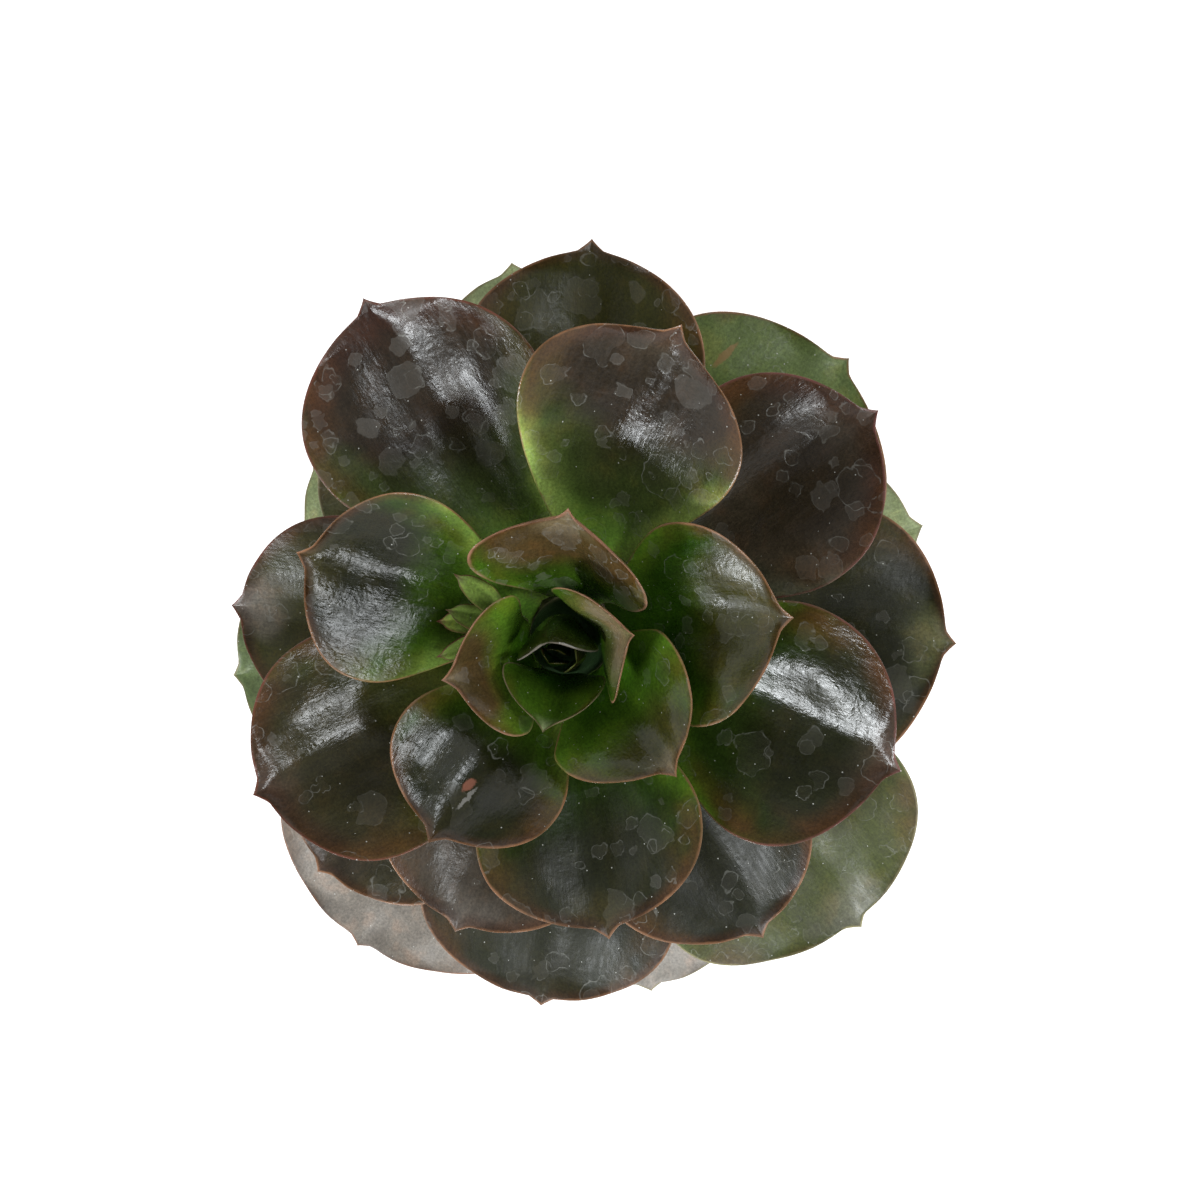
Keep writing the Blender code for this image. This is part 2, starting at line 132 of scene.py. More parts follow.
# Side shoot
STALK_RADIUS = 1.1 * MM
STALK_AZIMUTH = 163
STALK_START = 95.2 * MM
STALK_LENGTH = 4.5 * MM
STALK_RISE = 48
SIDE_LEAVES = [
    # azimuth, length, rise, twist, and the foot's place across the stalk's end and above it
    (134, 12.0, 45, 26, -1.80, 1.10),
    (158, 9.8, 40, 18, 0.25, 0.85),
    (178, 9.5, 34, 0, 0.0, -0.85),
    (201, 10.5, 42, -26, 1.75, 0.0),
]
SIDE_LEAF = Leaf("side_leaf", 0, 9.5, 4.0, 46, 34, 24, 8, 0, 0, 0.38, 0.48, 1.0)
SIDE_SEED = 60  # their skin patterns come after the rosette's

# Skin colours, linear. Greens:
SPRING = (0.400, 0.560, 0.130)
MEADOW = (0.300, 0.480, 0.090)
GRASS = (0.105, 0.220, 0.018)
FOREST = (0.050, 0.112, 0.008)
BOTTLE = (0.024, 0.052, 0.006)
PINE = (0.020, 0.062, 0.003)
BLACK_GREEN = (0.004, 0.016, 0.001)
FERN = (0.170, 0.235, 0.085)
DEEP_FERN = (0.140, 0.195, 0.056)
FERN_SHADE = (0.085, 0.125, 0.035)
OLIVE_GREEN = (0.070, 0.086, 0.018)
PALE_GREEN = (0.400, 0.480, 0.230)
SHOOT_GREEN = (0.330, 0.490, 0.095)
# Olives and browns:
MOSS = (0.090, 0.110, 0.024)
MOSS_SHADE = (0.046, 0.066, 0.016)
OLIVE = (0.046, 0.046, 0.009)
BRONZE = (0.064, 0.056, 0.018)
CHESTNUT = (0.078, 0.050, 0.018)
UMBER = (0.034, 0.030, 0.011)
BROWN_FLUSH = (0.120, 0.056, 0.014)
RED_FLUSH = (0.085, 0.028, 0.014)
# Purples and near blacks:
PLUM = (0.034, 0.016, 0.009)
DARK_PLUM = (0.030, 0.021, 0.012)
SLATE = (0.019, 0.021, 0.007)
INK = (0.014, 0.015, 0.004)
# Dusty and pale ends:
SAGE = (0.120, 0.128, 0.052)
PALE_SAGE = (0.180, 0.182, 0.120)
BUFF = (0.230, 0.180, 0.100)
DUSK = (0.066, 0.050, 0.032)
ASH = (0.160, 0.138, 0.112)
ASH_PINK = (0.370, 0.335, 0.290)
GREY_PINK = (0.285, 0.250, 0.208)
SHOOT_TIP = (0.200, 0.095, 0.075)
# Rims:
RED_RIM = (0.190, 0.062, 0.038)
PURPLE_RIM = (0.210, 0.080, 0.065)
TAN_RIM = (0.330, 0.160, 0.078)
PINK_RIM = (0.420, 0.210, 0.130)
STRAW_RIM = (0.360, 0.330, 0.170)
# The lower skin, and what it is multiplied by towards the end:
UNDER = (0.130, 0.160, 0.055)
UNDER_FLUSH = (0.95, 0.45, 0.75)

# base, middle, outer, end: colours from the foot to the point. rim: colour of the line round it. reach: share
# of the length where the middle colour lies. marks: how thickly dried drops lie. flush, line: widths of the
# reddened margin and of the rim's line, mm. dull: added roughness. bloom: strength of the pale powder.
# under: colour of the lower skin.
fields = "base middle outer end rim reach marks flush dull line bloom under"
Look = namedtuple("Look", fields, defaults=(0.0, 0.45, 0.0, UNDER))
LOOKS = {
    "bud_leaf_1": Look(*4 * [BLACK_GREEN], OLIVE, 0.5, 0.0, 0.3, 0.0, 0.20, 0.00, BLACK_GREEN),
    "bud_leaf_3": Look(*3 * [BLACK_GREEN], BOTTLE, MOSS, 0.5, 0.0, 0.3, 0.0, 0.20, 0.00, INK),
    "leaf_01": Look(*3 * [BLACK_GREEN], BOTTLE, GREY_PINK, 0.5, 0.3, 0.5, 0.0, 0.18, 0.00, BOTTLE),
    "leaf_02": Look(*3 * [FOREST], PALE_GREEN, BUFF, 0.5, 0.3, 0.5, 0.0, 0.45, 0.00, FOREST),
    # leaf_03's pale buff outer colour is a painted sheen, standing in for gloss on its inner face
    "leaf_03": Look(FOREST, MOSS, BUFF, SAGE, PINK_RIM, 0.52, 0.7, 1.2, 0.0, 0.45, 0.00, FOREST),
    "leaf_04": Look(GRASS, GRASS, CHESTNUT, BUFF, PINK_RIM, 0.45, 0.7, 1.2, 0.0, 0.50, 0.00, FOREST),
    "leaf_05": Look(GRASS, FOREST, OLIVE, BUFF, TAN_RIM, 0.48, 0.3, 1.5, 0.0, 0.50),
    "leaf_06": Look(GRASS, FOREST, CHESTNUT, BUFF, PINK_RIM, 0.38, 1.4, 1.5, 0.0, 0.75),
    "leaf_07": Look(MEADOW, FOREST, SLATE, UMBER, TAN_RIM, 0.30, 0.4, 2.0, 0.0, 0.50),
    "leaf_08": Look(GRASS, PINE, OLIVE, BRONZE, TAN_RIM, 0.46, 0.5, 2.0, 0.02, 0.50),
    "leaf_09": Look(MEADOW, FOREST, INK, BRONZE, TAN_RIM, 0.40, 0.6, 2.0),
    "leaf_10": Look(GRASS, BOTTLE, SLATE, BRONZE, TAN_RIM, 0.44, 0.6, 2.5, 0.16, 0.50),
    "leaf_11": Look(SPRING, MOSS_SHADE, DARK_PLUM, DUSK, TAN_RIM, 0.46, 0.8, 3.5),
    "leaf_12": Look(GRASS, MOSS, UMBER, DUSK, RED_RIM, 0.36, 0.5, 4.5),
    "leaf_13": Look(GRASS, BOTTLE, SLATE, DUSK, PURPLE_RIM, 0.40, 0.5, 4.5),
    "leaf_14": Look(SPRING, FERN_SHADE, DARK_PLUM, PLUM, RED_RIM, 0.36, 1.0, 6.0, 0.05),
    "leaf_15": Look(MOSS, OLIVE, DUSK, ASH, TAN_RIM, 0.35, 0.4, 2.5, 0.08, 0.45, 0.02),
    "leaf_16": Look(PALE_SAGE, DUSK, DARK_PLUM, DUSK, PURPLE_RIM, 0.46, 0.7, 5.0, 0.04),
    "leaf_17": Look(MOSS, DUSK, OLIVE, GREY_PINK, RED_RIM, 0.35, 0.6, 2.5, 0.10, 0.45, 0.02),
    "leaf_18": Look(MOSS, INK, INK, SLATE, TAN_RIM, 0.35, 0.5, 2.0, 0.22),
    "leaf_19": Look(MOSS, *3 * [OLIVE], TAN_RIM, 0.35, 0.9, 2.0, 0.14),
    "leaf_20": Look(MOSS, OLIVE, UMBER, DUSK, TAN_RIM, 0.35, 0.6, 2.0, 0.10, 0.45, 0.01),
    "leaf_21": Look(MOSS, OLIVE, INK, SAGE, TAN_RIM, 0.50, 0.4, 1.5, 0.20),
    "leaf_22": Look(*4 * [SAGE], STRAW_RIM, 0.50, 0.4, 0.5, 0.20, 0.40),
    "leaf_23": Look(MOSS, INK, SLATE, UMBER, TAN_RIM, 0.40, 0.7, 2.0, 0.24),
    "leaf_24": Look(FERN, DEEP_FERN, DEEP_FERN, FERN, TAN_RIM, 0.50, 0.4, 0.6, 0.18, 0.40),
    "leaf_25": Look(*4 * [FERN], STRAW_RIM, 0.50, 0.4, 0.5, 0.22, 0.40, 0.03),
    "leaf_26": Look(FERN, OLIVE_GREEN, OLIVE_GREEN, PALE_SAGE, STRAW_RIM, 0.50, 0.6, 0.6, 0.18, 0.40, 0.03),
    "leaf_27": Look(FERN, *3 * [PALE_GREEN], STRAW_RIM, 0.50, 0.3, 0.5, 0.22, 0.40, 0.05),
    "leaf_28": Look(SAGE, *3 * [GREY_PINK], TAN_RIM, 0.35, 0.5, 0.8, 0.25, 0.35, 0.05),
    "leaf_29": Look(FERN, *3 * [PALE_GREEN], STRAW_RIM, 0.40, 0.3, 0.5, 0.22, 0.40, 0.05),
    "leaf_31": Look(SAGE, *3 * [ASH_PINK], STRAW_RIM, 0.30, 0.4, 0.5, 0.25, 0.35, 0.20),
    "side_leaf": Look(SPRING, SHOOT_GREEN, SHOOT_GREEN, SHOOT_TIP, RED_RIM, 0.25, 0.2, 0.3, 0.10, 0.20, 0.02),
}
LOOKS.update(bud_leaf_2=LOOKS["bud_leaf_1"], leaf_30=LOOKS["leaf_29"])

# Healed damage, and one painted highlight: centre on the blade (mm along and across), length and width (mm),
# slant (radians), colour
DAMAGE_AND_PAINTED_HIGHLIGHT = {
    "leaf_07": [
        ((23.6, 0.1), 2.8, 1.5, -0.2, (0.300, 0.120, 0.075)),
        # a pale streak beside the scar: a painted highlight, where a glossy ridge catches the light
        ((25.4, 1.0), 5.0, 0.7, -0.15, (0.260, 0.250, 0.225)),
    ],
    "leaf_18": [((29.2, 1.9), 2.4, 0.7, -0.9, (0.002, 0.002, 0.001))],
    "leaf_24": [((38.1, 13.0), 5.5, 1.3, 0.0, (0.280, 0.190, 0.070))],
}


# ---------------- shapes


def ramp(x):
    """0 below 0, 1 above 1, and a smooth step between."""
    x = np.clip(x, 0, 1)
    return x * x * (3 - 2 * x)


def closed_skin(name, grid, places=None):
    """A closed mesh over a grid of points whose first and last rows are single points and whose columns meet.

    Between rows i and i+1 and columns j and j+1 lies one four-sided face, and a fan closes each end. places
    holds named values for the same grid, which become attributes of the mesh.
    """
    rows, columns = grid.shape[:2]
    inner = rows - 2
    points = np.concatenate([grid[:1, 0], grid[1:-1].reshape(-1, 3), grid[-1:, 0]])
    i, j = np.arange(inner - 1)[:, None], np.arange(columns)[None]
    right = (j + 1) % columns
    here, above = 1 + i * columns, 1 + (i + 1) * columns
    quads = np.stack([here + j, here + right, above + right, above + j], -1)
    k = np.arange(columns)
    first = np.stack([0 * k, 1 + (k + 1) % columns, 1 + k], 1)
    last_row = 1 + (inner - 1) * columns
    last = np.stack([0 * k + len(points) - 1, last_row + k, last_row + (k + 1) % columns], 1)
    quads = quads.reshape(-1, 4)
    corners = points[quads]
    middle = points.mean(0)
    across = np.cross(corners[:, 2] - corners[:, 0], corners[:, 3] - corners[:, 1])
    inside_out = (across * (corners.mean(1) - middle)).sum() < 0
    faces = [f[:, ::-1] if inside_out else f for f in (quads, first, last)]
    mesh = bpy.data.meshes.new(name)
    mesh.from_pydata(points.tolist(), [], faces[0].tolist() + faces[1].tolist() + faces[2].tolist())
    mesh.shade_smooth()
    for label, values in (places or {}).items():
        values = np.concatenate([values[:1, 0], values[1:-1].reshape(-1, values.shape[-1]), values[-1:, 0]])
        kind, field = ("FLOAT_VECTOR", "vector") if values.shape[1] == 3 else ("FLOAT", "value")
        mesh.attributes.new(label, kind, "POINT").data.foreach_set(field, values.astype(np.float32).ravel())
    return mesh


def placed(name, data):
    """A new object in the scene, at the origin."""
    obj = bpy.data.objects.new(name, data)
    bpy.context.scene.collection.objects.link(obj)
    return obj


def piece(name, mesh, material, slot, *nodes):
    """Puts a mesh in the scene as a piece of the part, in place of the named nodes."""
    obj = placed(name, mesh)
    mesh.materials.append(material)
    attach(obj, "root")
    if nodes:
        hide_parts(*nodes)
    return obj


def foot_round(leaf, along):
    """A quarter circle that rounds off a leaf's foot: 0 at its start and 1 from ROOT on."""
    return np.sqrt(1 - (1 - np.clip(along * leaf.length * MM / ROOT, 0, 1)) ** 2)


def blade_half_width(leaf, along):
    """Grows by a sine from the foot to the widest part, then rounds off, and ends in a hollow-sided point."""
    length = leaf.length * MM
    point_length = min(POINT, 0.1 * length)
    point_width = min(POINT_HALF_WIDTH, 0.11 * leaf.width * MM)
    share = along / (1 - point_length / length)
    grow = leaf.foot + (1 - leaf.foot) * np.sin(pi / 2 * np.clip(share / leaf.widest, 0, 1) ** 1.7)
    fall = np.clip((share - leaf.widest) / (1 - leaf.widest), 0, 1)
    width = leaf.width * MM / 2 * np.where(share < leaf.widest, grow, (1 - fall**2.4) ** 0.62)
    point = point_width * np.clip((1 - along) * length / point_length, 0, 1.6) ** 1.2
    point = point * ramp((along - 0.6) / 0.2)
    return (width**3 + point**3) ** (1 / 3) * foot_round(leaf, along)


def thickness(leaf, along):
    """Stout near the foot and thin at the end."""
    body = 0.72 + 0.28 * np.sin(pi * along**0.9)
    end = np.sqrt(np.clip((1 - along) * leaf.length * MM / POINT, 0, 1))
    return leaf.thick * MM * body * (1 - 0.72 * ramp((along - 0.35) / 0.65)) * foot_round(leaf, along) * end


def midrib_frame(leaf, azimuth, seat, along):
    """Points of the midrib, and the sideways and upward directions there.

    The rise changes evenly along the leaf and the heading with the place's power 1.5. The midrib is the
    running sum of the forward direction, and the two others twist about it over the first half.
    """
    s = np.linspace(0, 1, 241)
    heading = np.radians(azimuth + leaf.sweep * s**1.5)
    rise = np.radians(leaf.rise_foot + (leaf.rise_tip - leaf.rise_foot) * s)
    forward = np.stack([np.cos(rise) * np.cos(heading), np.cos(rise) * np.sin(heading), np.sin(rise)], 1)
    midrib = np.zeros_like(forward)
    midrib[1:] = np.cumsum((forward[1:] + forward[:-1]) / 2, 0) * leaf.length * MM / (len(s) - 1)
    midrib += seat
    side = np.stack([-np.sin(heading), np.cos(heading), 0 * heading], 1)
    up = np.cross(forward, side)
    twist = np.radians(leaf.twist * ramp(s / 0.5))[:, None]
    side, up = np.cos(twist) * side + np.sin(twist) * up, np.cos(twist) * up - np.sin(twist) * side
    return (
        np.stack([np.interp(along[:, 0], s, line[:, axis]) for axis in range(3)], 1)[:, None]
        for line in (midrib, side, up)
    )


def blade_section(leaf, along, across, half):
    """(outward, height) of the middle of the blade's thickness, for a place across it from -1 to 1.

    An arc, curved round the stem near the foot and by the leaf's cup beyond, plus a rounded fold at the
    midrib, a low swelling on each side of it that grows with the fold, and a margin that flattens out.
    """
    stem_hug = min(1.2, leaf.width * MM / 2 * leaf.foot / STEM_RADIUS) * max(0, sin(radians(leaf.rise_foot)))
    curl = stem_hug + (radians(leaf.cup) - stem_hug) * ramp(along / 0.4) + 0.0001
    outward = half * np.sin(curl * across) / curl
    height = half * (1 - np.cos(curl * across)) / curl
    height += half * np.tan(radians(leaf.fold)) * ramp(along / 0.5) * (np.sqrt(across**2 + 0.06) - 0.245)
    swelling = 0.085 * ramp(leaf.fold / 8) * ramp(along / 0.5) * (1 - 0.6 * ramp((along - 0.72) / 0.25))
    spread = ((across**2 + 0.012) ** 0.35 - 0.012**0.35) / (1.012**0.35 - 0.012**0.35)
    height += half * (swelling * np.sin(pi * spread) ** 2 - 0.03 * across**6 * ramp(along / 0.5))
    return outward, height


def blade_relief(leaf, along, x, y, upper, seed):
    """Relief of a large leaf in millimetres, at a place x along it and y across it.

    A groove along the upper midrib and a keel under it, both bell curves of y, margins raised towards the
    point, and waves: three sines with seeded directions and phases.
    """
    rng = np.random.default_rng(seed)
    middle_part = ramp(along / 0.2) * (1 - ramp((along - 0.7) / 0.28))
    groove = -0.011 * leaf.fold * np.exp(-((y / 1.8) ** 2)) * middle_part * upper
    keel = -0.40 * np.exp(-((y / 2.2) ** 2)) * middle_part * (1 - upper)
    waves = 0
    for size, deep in ((19, 0.16), (11, 0.08), (6.5, 0.035)):
        angle, phase = rng.uniform(0, 2 * pi, 2)
        waves = waves + deep * np.sin(2 * pi / size * (x * cos(angle) + y * sin(angle)) + phase)
    tip_fold = 0.30 * np.abs(y) * ramp((along - 0.9) / 0.1)
    fade = ramp(along / 0.3) * ramp((1 - along) * leaf.length / 6)
    return groove + keel + waves * fade + tip_fold


def leaf_grid(leaf, azimuth, seat, rows, columns, seed):
    """Points of a leaf's skin, and its named places: share along and across, distance to the margin, and mm.

    One parameter runs from the foot to the point, closer at both ends, and the other goes round the section.
    The upper skin lies a third of the thickness above its middle line, and the lower skin two thirds below.
    """
    along = ((1 - np.cos(pi * np.arange(rows) / (rows - 1))) / 2)[:, None]
    turn = 2 * pi * np.arange(columns) / columns
    turn = (turn + 0.3 * np.sin(2 * turn))[None, :]
    across, skin = np.cos(turn), np.sin(turn)
    upper = ramp(skin / 0.12 + 0.5)
    half = blade_half_width(leaf, along)
    x, y = along * leaf.length, across * half / MM
    outward, height = blade_section(leaf, along, across, half)
    height += thickness(leaf, along) * np.where(skin > 0, 0.36, 0.64) * np.sign(skin) * np.abs(skin) ** 0.85
    if leaf.width > SMALL_LEAF:
        height = height + blade_relief(leaf, along, x, y, upper, seed) * MM
    midrib, side, up = midrib_frame(leaf, azimuth, seat, along)
    points = midrib + outward[..., None] * side + height[..., None] * up

    rim = np.linspace(0.02, 1, 240)
    rim_x, rim_y = rim * leaf.length, blade_half_width(leaf, rim) / MM
    apart = np.hypot(x[..., None] - rim_x, np.abs(y)[..., None] - rim_y).min(-1)
    ones = np.ones_like(apart)
    pattern_y = y + np.where(skin < 0, LOWER_SIDE, 0)
    places = {
        "leaf_place": np.stack([along * ones, across * ones, apart], -1),
        "leaf_mm": np.stack([x * ones + BLADE_SPACING * seed, pattern_y, 0 * ones], -1),
        "leaf_upper": (upper * ones)[..., None],
    }
    return points, places


def leaf_seat(number, rise):
    """(radius, height) of a leaf's foot, just clear of the stem's surface."""
    clear = GAP + 0.25 * MM * max(0, sin(radians(rise)))
    if number < LEAVES_ON_DOME:
        angle = radians(90 * (number + 1) / (LEAVES_ON_DOME + 1))
        return (STEM_RADIUS + clear) * sin(angle), SHOULDER + (DOME_HEIGHT + clear) * cos(angle)
    return STEM_RADIUS + clear, SHOULDER - LEAF_PITCH * (number - LEAVES_ON_DOME)


# ---------------- materials


class Nodes:
    """Adds nodes to a tree. Values are numbers, colours or other nodes' outputs."""

    def __init__(self, tree):
        self.tree = tree

    def add(self, kind, **settings):
        """The new node itself."""
        node = self.tree.nodes.new(kind)
        for name, value in settings.items():
            setattr(node, name, value)
        return node

    def plug(self, socket, value):
        """Links a socket to an output, or sets its number or colour."""
        if isinstance(value, bpy.types.NodeSocket):
            self.tree.links.new(value, socket)
        elif socket.type == "RGBA" and len(value) == 3:
            socket.default_value = (*value, 1)
        else:
            socket.default_value = value

    def put(self, kind, *values, **settings):
        """The outputs of a new node with these values in its first sockets."""
        node = self.add(kind, **settings)
        for socket, value in zip(node.inputs, values):
            self.plug(socket, value)
        return node.outputs

    def math(self, operation, *values):
        """The result of a sum, product or other operation on numbers."""
        return self.put("ShaderNodeMath", *values, operation=operation)[0]

    def times(self, first, second):
        return self.math("MULTIPLY", first, second)

    def times_add(self, value, factor, more):
        """value x factor + more."""
        return self.math("MULTIPLY_ADD", value, factor, more)

    def swing(self, value, gain, about=1.0):
        """The value's distance from a half, times gain, added to about."""
        return self.times_add(self.math("SUBTRACT", value, 0.5), gain, about)

    def vector(self, operation, *values):
        """The same for vectors."""
        return self.put("ShaderNodeVectorMath", *values, operation=operation)[0]

    def parts(self, vector):
        """A vector's three numbers."""
        return self.put("ShaderNodeSeparateXYZ", vector)

    def step(self, value, low, high, start=0.0, end=1.0):
        """Smooth step from start to end while value goes from low to high."""
        numbers = low, high, start, end
        return self.put("ShaderNodeMapRange", value, *numbers, interpolation_type="SMOOTHSTEP")[0]

    def mix(self, share, first, second, blend="MIX"):
        """Two colours mixed. Sockets 6, 7 and 2 are the node's colours."""
        node = self.add("ShaderNodeMix", data_type="RGBA", blend_type=blend)
        self.plug(node.inputs[0], share)
        self.plug(node.inputs[6], first)
        self.plug(node.inputs[7], second)
        return node.outputs[2]

    def noise(self, vector, size, detail=2.0, rough=0.5, colour=False):
        """Noise with features about size long, in the vector's own unit. The 0 is an unused fourth axis."""
        outputs = self.put("ShaderNodeTexNoise", vector, 0, 1 / size, detail, rough)
        return outputs["Color" if colour else "Fac"]

    def cells(self, vector, size, flat=True):
        """Distance from the nearest of scattered seeds, in cell sizes, and that seed's random numbers."""
        dimensions = "2D" if flat else "3D"
        outputs = self.put("ShaderNodeTexVoronoi", vector, 0, 1 / size, voronoi_dimensions=dimensions)
        return outputs["Distance"], self.parts(outputs["Color"])

    def tint(self, colour, factor):
        """A colour multiplied by another, or by a number."""
        return self.mix(1.0, colour, factor, "MULTIPLY")

    def shove(self, vector, size, far, detail=1.0, rough=0.5):
        """A random vector, up to half of far each way, that changes over about size."""
        noise = self.noise(vector, size, detail, rough, colour=True)
        return self.vector("MULTIPLY", self.vector("SUBTRACT", noise, (0.5, 0.5, 0.5)), (far, far, far))

    def spot(self):
        """The place on the piece, in metres."""
        return self.add("ShaderNodeTexCoord").outputs["Object"]

    def attribute(self, name, output="Vector"):
        """A value that the mesh holds at its points."""
        return self.add("ShaderNodeAttribute", attribute_name=name).outputs[output]

    def group(self, tree, **values):
        """A node group's outputs, for these inputs."""
        node = self.add("ShaderNodeGroup", node_tree=tree)
        for name, value in values.items():
            self.plug(node.inputs[name], value)
        return node.outputs


def new_group(name, inputs, outputs):
    """An empty node group and its end nodes' sockets. inputs, outputs: names of the sockets of each type."""
    tree = bpy.data.node_groups.new(name, "ShaderNodeTree")
    for end, sockets in (("INPUT", inputs), ("OUTPUT", outputs)):
        for kind, labels in sockets.items():
            for label in labels.split():
                tree.interface.new_socket(label, in_out=end, socket_type="NodeSocket" + kind)
    n = Nodes(tree)
    return tree, n, n.add("NodeGroupInput").outputs, n.add("NodeGroupOutput").inputs


def make_skin_colour_group():
    """Leaf skin: a green base that fades outwards, flushed margin, rim line, pale bloom and a lower skin."""
    inputs = dict(Vector="Place Blade", Float="Upper Reach Bloom Line Flush")
    inputs["Color"] = "Base Middle Outer End Rim Under"
    tree, n, given, out = new_group("leaf skin colour", inputs, dict(Color="Colour", Float="Bloom"))
    along, across, rim = n.parts(given["Place"])
    blade = given["Blade"]
    side = n.math("ABSOLUTE", across)
    cloud = n.noise(blade, 9, 2)
    patch = n.noise(n.vector("ADD", blade, (31, 17, 0)), 5, 3, 0.6)
    grain = n.noise(blade, 0.45, 3, 0.7)
    lifted = n.times_add(n.math("POWER", side, 2.5), -0.33, along)
    lifted = n.swing(cloud, 0.22, lifted)
    reach = given["Reach"]
    to_middle = n.step(lifted, n.math("SUBTRACT", reach, 0.28), n.math("ADD", reach, 0.02))
    to_outer = n.step(lifted, n.math("SUBTRACT", reach, 0.05), n.math("ADD", reach, 0.24))
    darker = n.mix(n.step(along, 0.24, 0.48), (0.62, 0.84, 0.52), (0.34, 0.38, 0.34))
    inner = n.tint(given["Base"], darker)
    colour = n.mix(n.step(side, 0.30, 0.95), inner, given["Base"])
    colour = n.mix(to_middle, colour, given["Middle"])
    colour = n.mix(to_outer, colour, given["Outer"])
    colour = n.mix(n.step(lifted, 0.78, 0.98), colour, given["End"])
    warm = n.tint(colour, (1.35, 0.98, 0.80))
    colour = n.mix(n.step(patch, 0.48, 0.68, 0, 0.4), colour, warm)
    beside = n.times(to_middle, n.step(lifted, 0.55, 0.85, 1, 0))
    beside = n.times(n.step(side, 0.55, 0.95, 0, 0.6), beside)
    colour = n.mix(n.times(beside, n.step(cloud, 0.35, 0.6)), colour, BROWN_FLUSH)
    flush = n.step(rim, n.times(given["Flush"], 0.2), given["Flush"], 0.42, 0.0)
    colour = n.mix(n.times(flush, to_middle), colour, RED_FLUSH)
    streak = n.noise(n.vector("MULTIPLY", blade, (0.10, 1, 1)), 0.9, 3, 0.6)
    shade = n.times(n.swing(patch, 1.1), n.swing(streak, 0.5))
    shade = n.times(shade, n.swing(grain, 1.7))
    colour = n.tint(colour, shade)
    bloom = n.math("MINIMUM", n.times(given["Bloom"], n.step(cloud, 0.3, 0.7, 0.5, 1.6)), 1.0)
    colour = n.mix(bloom, colour, (0.46, 0.43, 0.41))

    flushed = n.step(n.swing(cloud, 0.8, along), 0.45, 0.95, 0, 0.8)
    under = n.mix(flushed, given["Under"], n.tint(given["Under"], UNDER_FLUSH))
    keel = n.tint(given["Under"], (1.7, 1.6, 2.0))
    under = n.mix(n.step(side, 0.0, 0.12, 0.35, 0.0), under, keel)
    under = n.tint(under, shade)
    colour = n.mix(given["Upper"], under, colour)

    width = n.times(given["Line"], n.swing(n.noise(blade, 2.2, 2), 1.4, 1.1))
    line = n.step(rim, n.times(width, 0.3), width, 1, 0)
    line = n.times(line, n.step(along, 0.12, 0.35))
    line = n.times(line, n.step(n.noise(blade, 6, 2), 0.3, 0.65, 0.30, 0.95))
    colour = n.mix(line, colour, given["Rim"])
    n.plug(out["Colour"], colour)
    n.plug(out["Bloom"], bloom)
    return tree


def make_water_marks_group():
    """Dried drops of three sizes, with bent outlines, a pale broken edge and a film inside. And white specks,
    which are painted glints.
    """
    inputs, outputs = dict(Vector="Blade", Float="Amount"), dict(Float="Film Edge Speck")
    tree, n, given, out = new_group("water marks", inputs, outputs)
    blade = given["Blade"]
    film, edge = 0.0, 0.0
    # size of a cell (mm), shift of the pattern, and share of the cells with a drop
    for cell, offset, share in ((7.5, 0, 0.45), (4.8, 40, 0.48), (2.8, 70, 0.26)):
        bend = n.vector("ADD", n.shove(blade, cell * 0.42, cell * 0.50), n.shove(blade, 0.9, 0.45))
        place = n.vector("ADD", blade, n.vector("ADD", bend, (offset, offset, 0)))
        far, chance = n.cells(place, cell)
        radius = n.step(chance[0], 0, 1, 0.18, 0.40)
        chosen = n.math("LESS_THAN", chance[1], n.times(given["Amount"], share))
        past = n.math("SUBTRACT", far, radius)
        inside = n.times(n.step(past, -0.02, 0.01, 1, 0), chosen)
        film = n.math("MAXIMUM", film, n.times(inside, n.step(chance[2], 0, 1, 0.1, 1)))
        outline = n.times(n.step(n.math("ABSOLUTE", past), 0.02 / cell, 0.15 / cell, 1, 0), chosen)
        edge = n.math("MAXIMUM", edge, n.times(outline, n.step(chance[2], 0, 1, 1.0, 0.4)))
    broken = n.step(n.noise(blade, 1.6, 3, 0.6), 0.36, 0.62, 0.10, 1.0)
    n.plug(out["Film"], film)
    n.plug(out["Edge"], n.times(edge, broken))
    # white specks scattered over the skin: painted glints
    far, chance = n.cells(blade, 1.9)
    small = n.step(far, 0.02, n.step(chance[0], 0, 1, 0.03, 0.075), 1, 0)
    n.plug(out["Speck"], n.times(small, n.math("LESS_THAN", chance[1], 0.16)))
    return tree


def make_grain_group():
    """Skin relief in millimetres: fibres along the blade, crinkles, dimples and pores. And a patchy sheen."""
    tree, n, given, out = new_group("leaf grain", dict(Vector="Blade"), dict(Float="Height Sheen"))
    blade = given["Blade"]
    stretched = n.vector("MULTIPLY", blade, (0.28, 1, 1))
    fibre = n.noise(stretched, 0.34, 3, 0.6)
    crinkle = n.noise(blade, 0.75, 2, 0.5)
    dimple = n.noise(blade, 2.4, 3, 0.55)
    pore = n.noise(blade, 0.16, 2)
    height = n.times_add(crinkle, 0.027, n.times(fibre, 0.028))
    height = n.times_add(dimple, 0.12, height)
    n.plug(out["Height"], n.times_add(pore, 0.006, height))
    n.plug(out["Sheen"], n.step(n.noise(stretched, 1.1, 4, 0.7), 0.3, 0.7))
    return tree


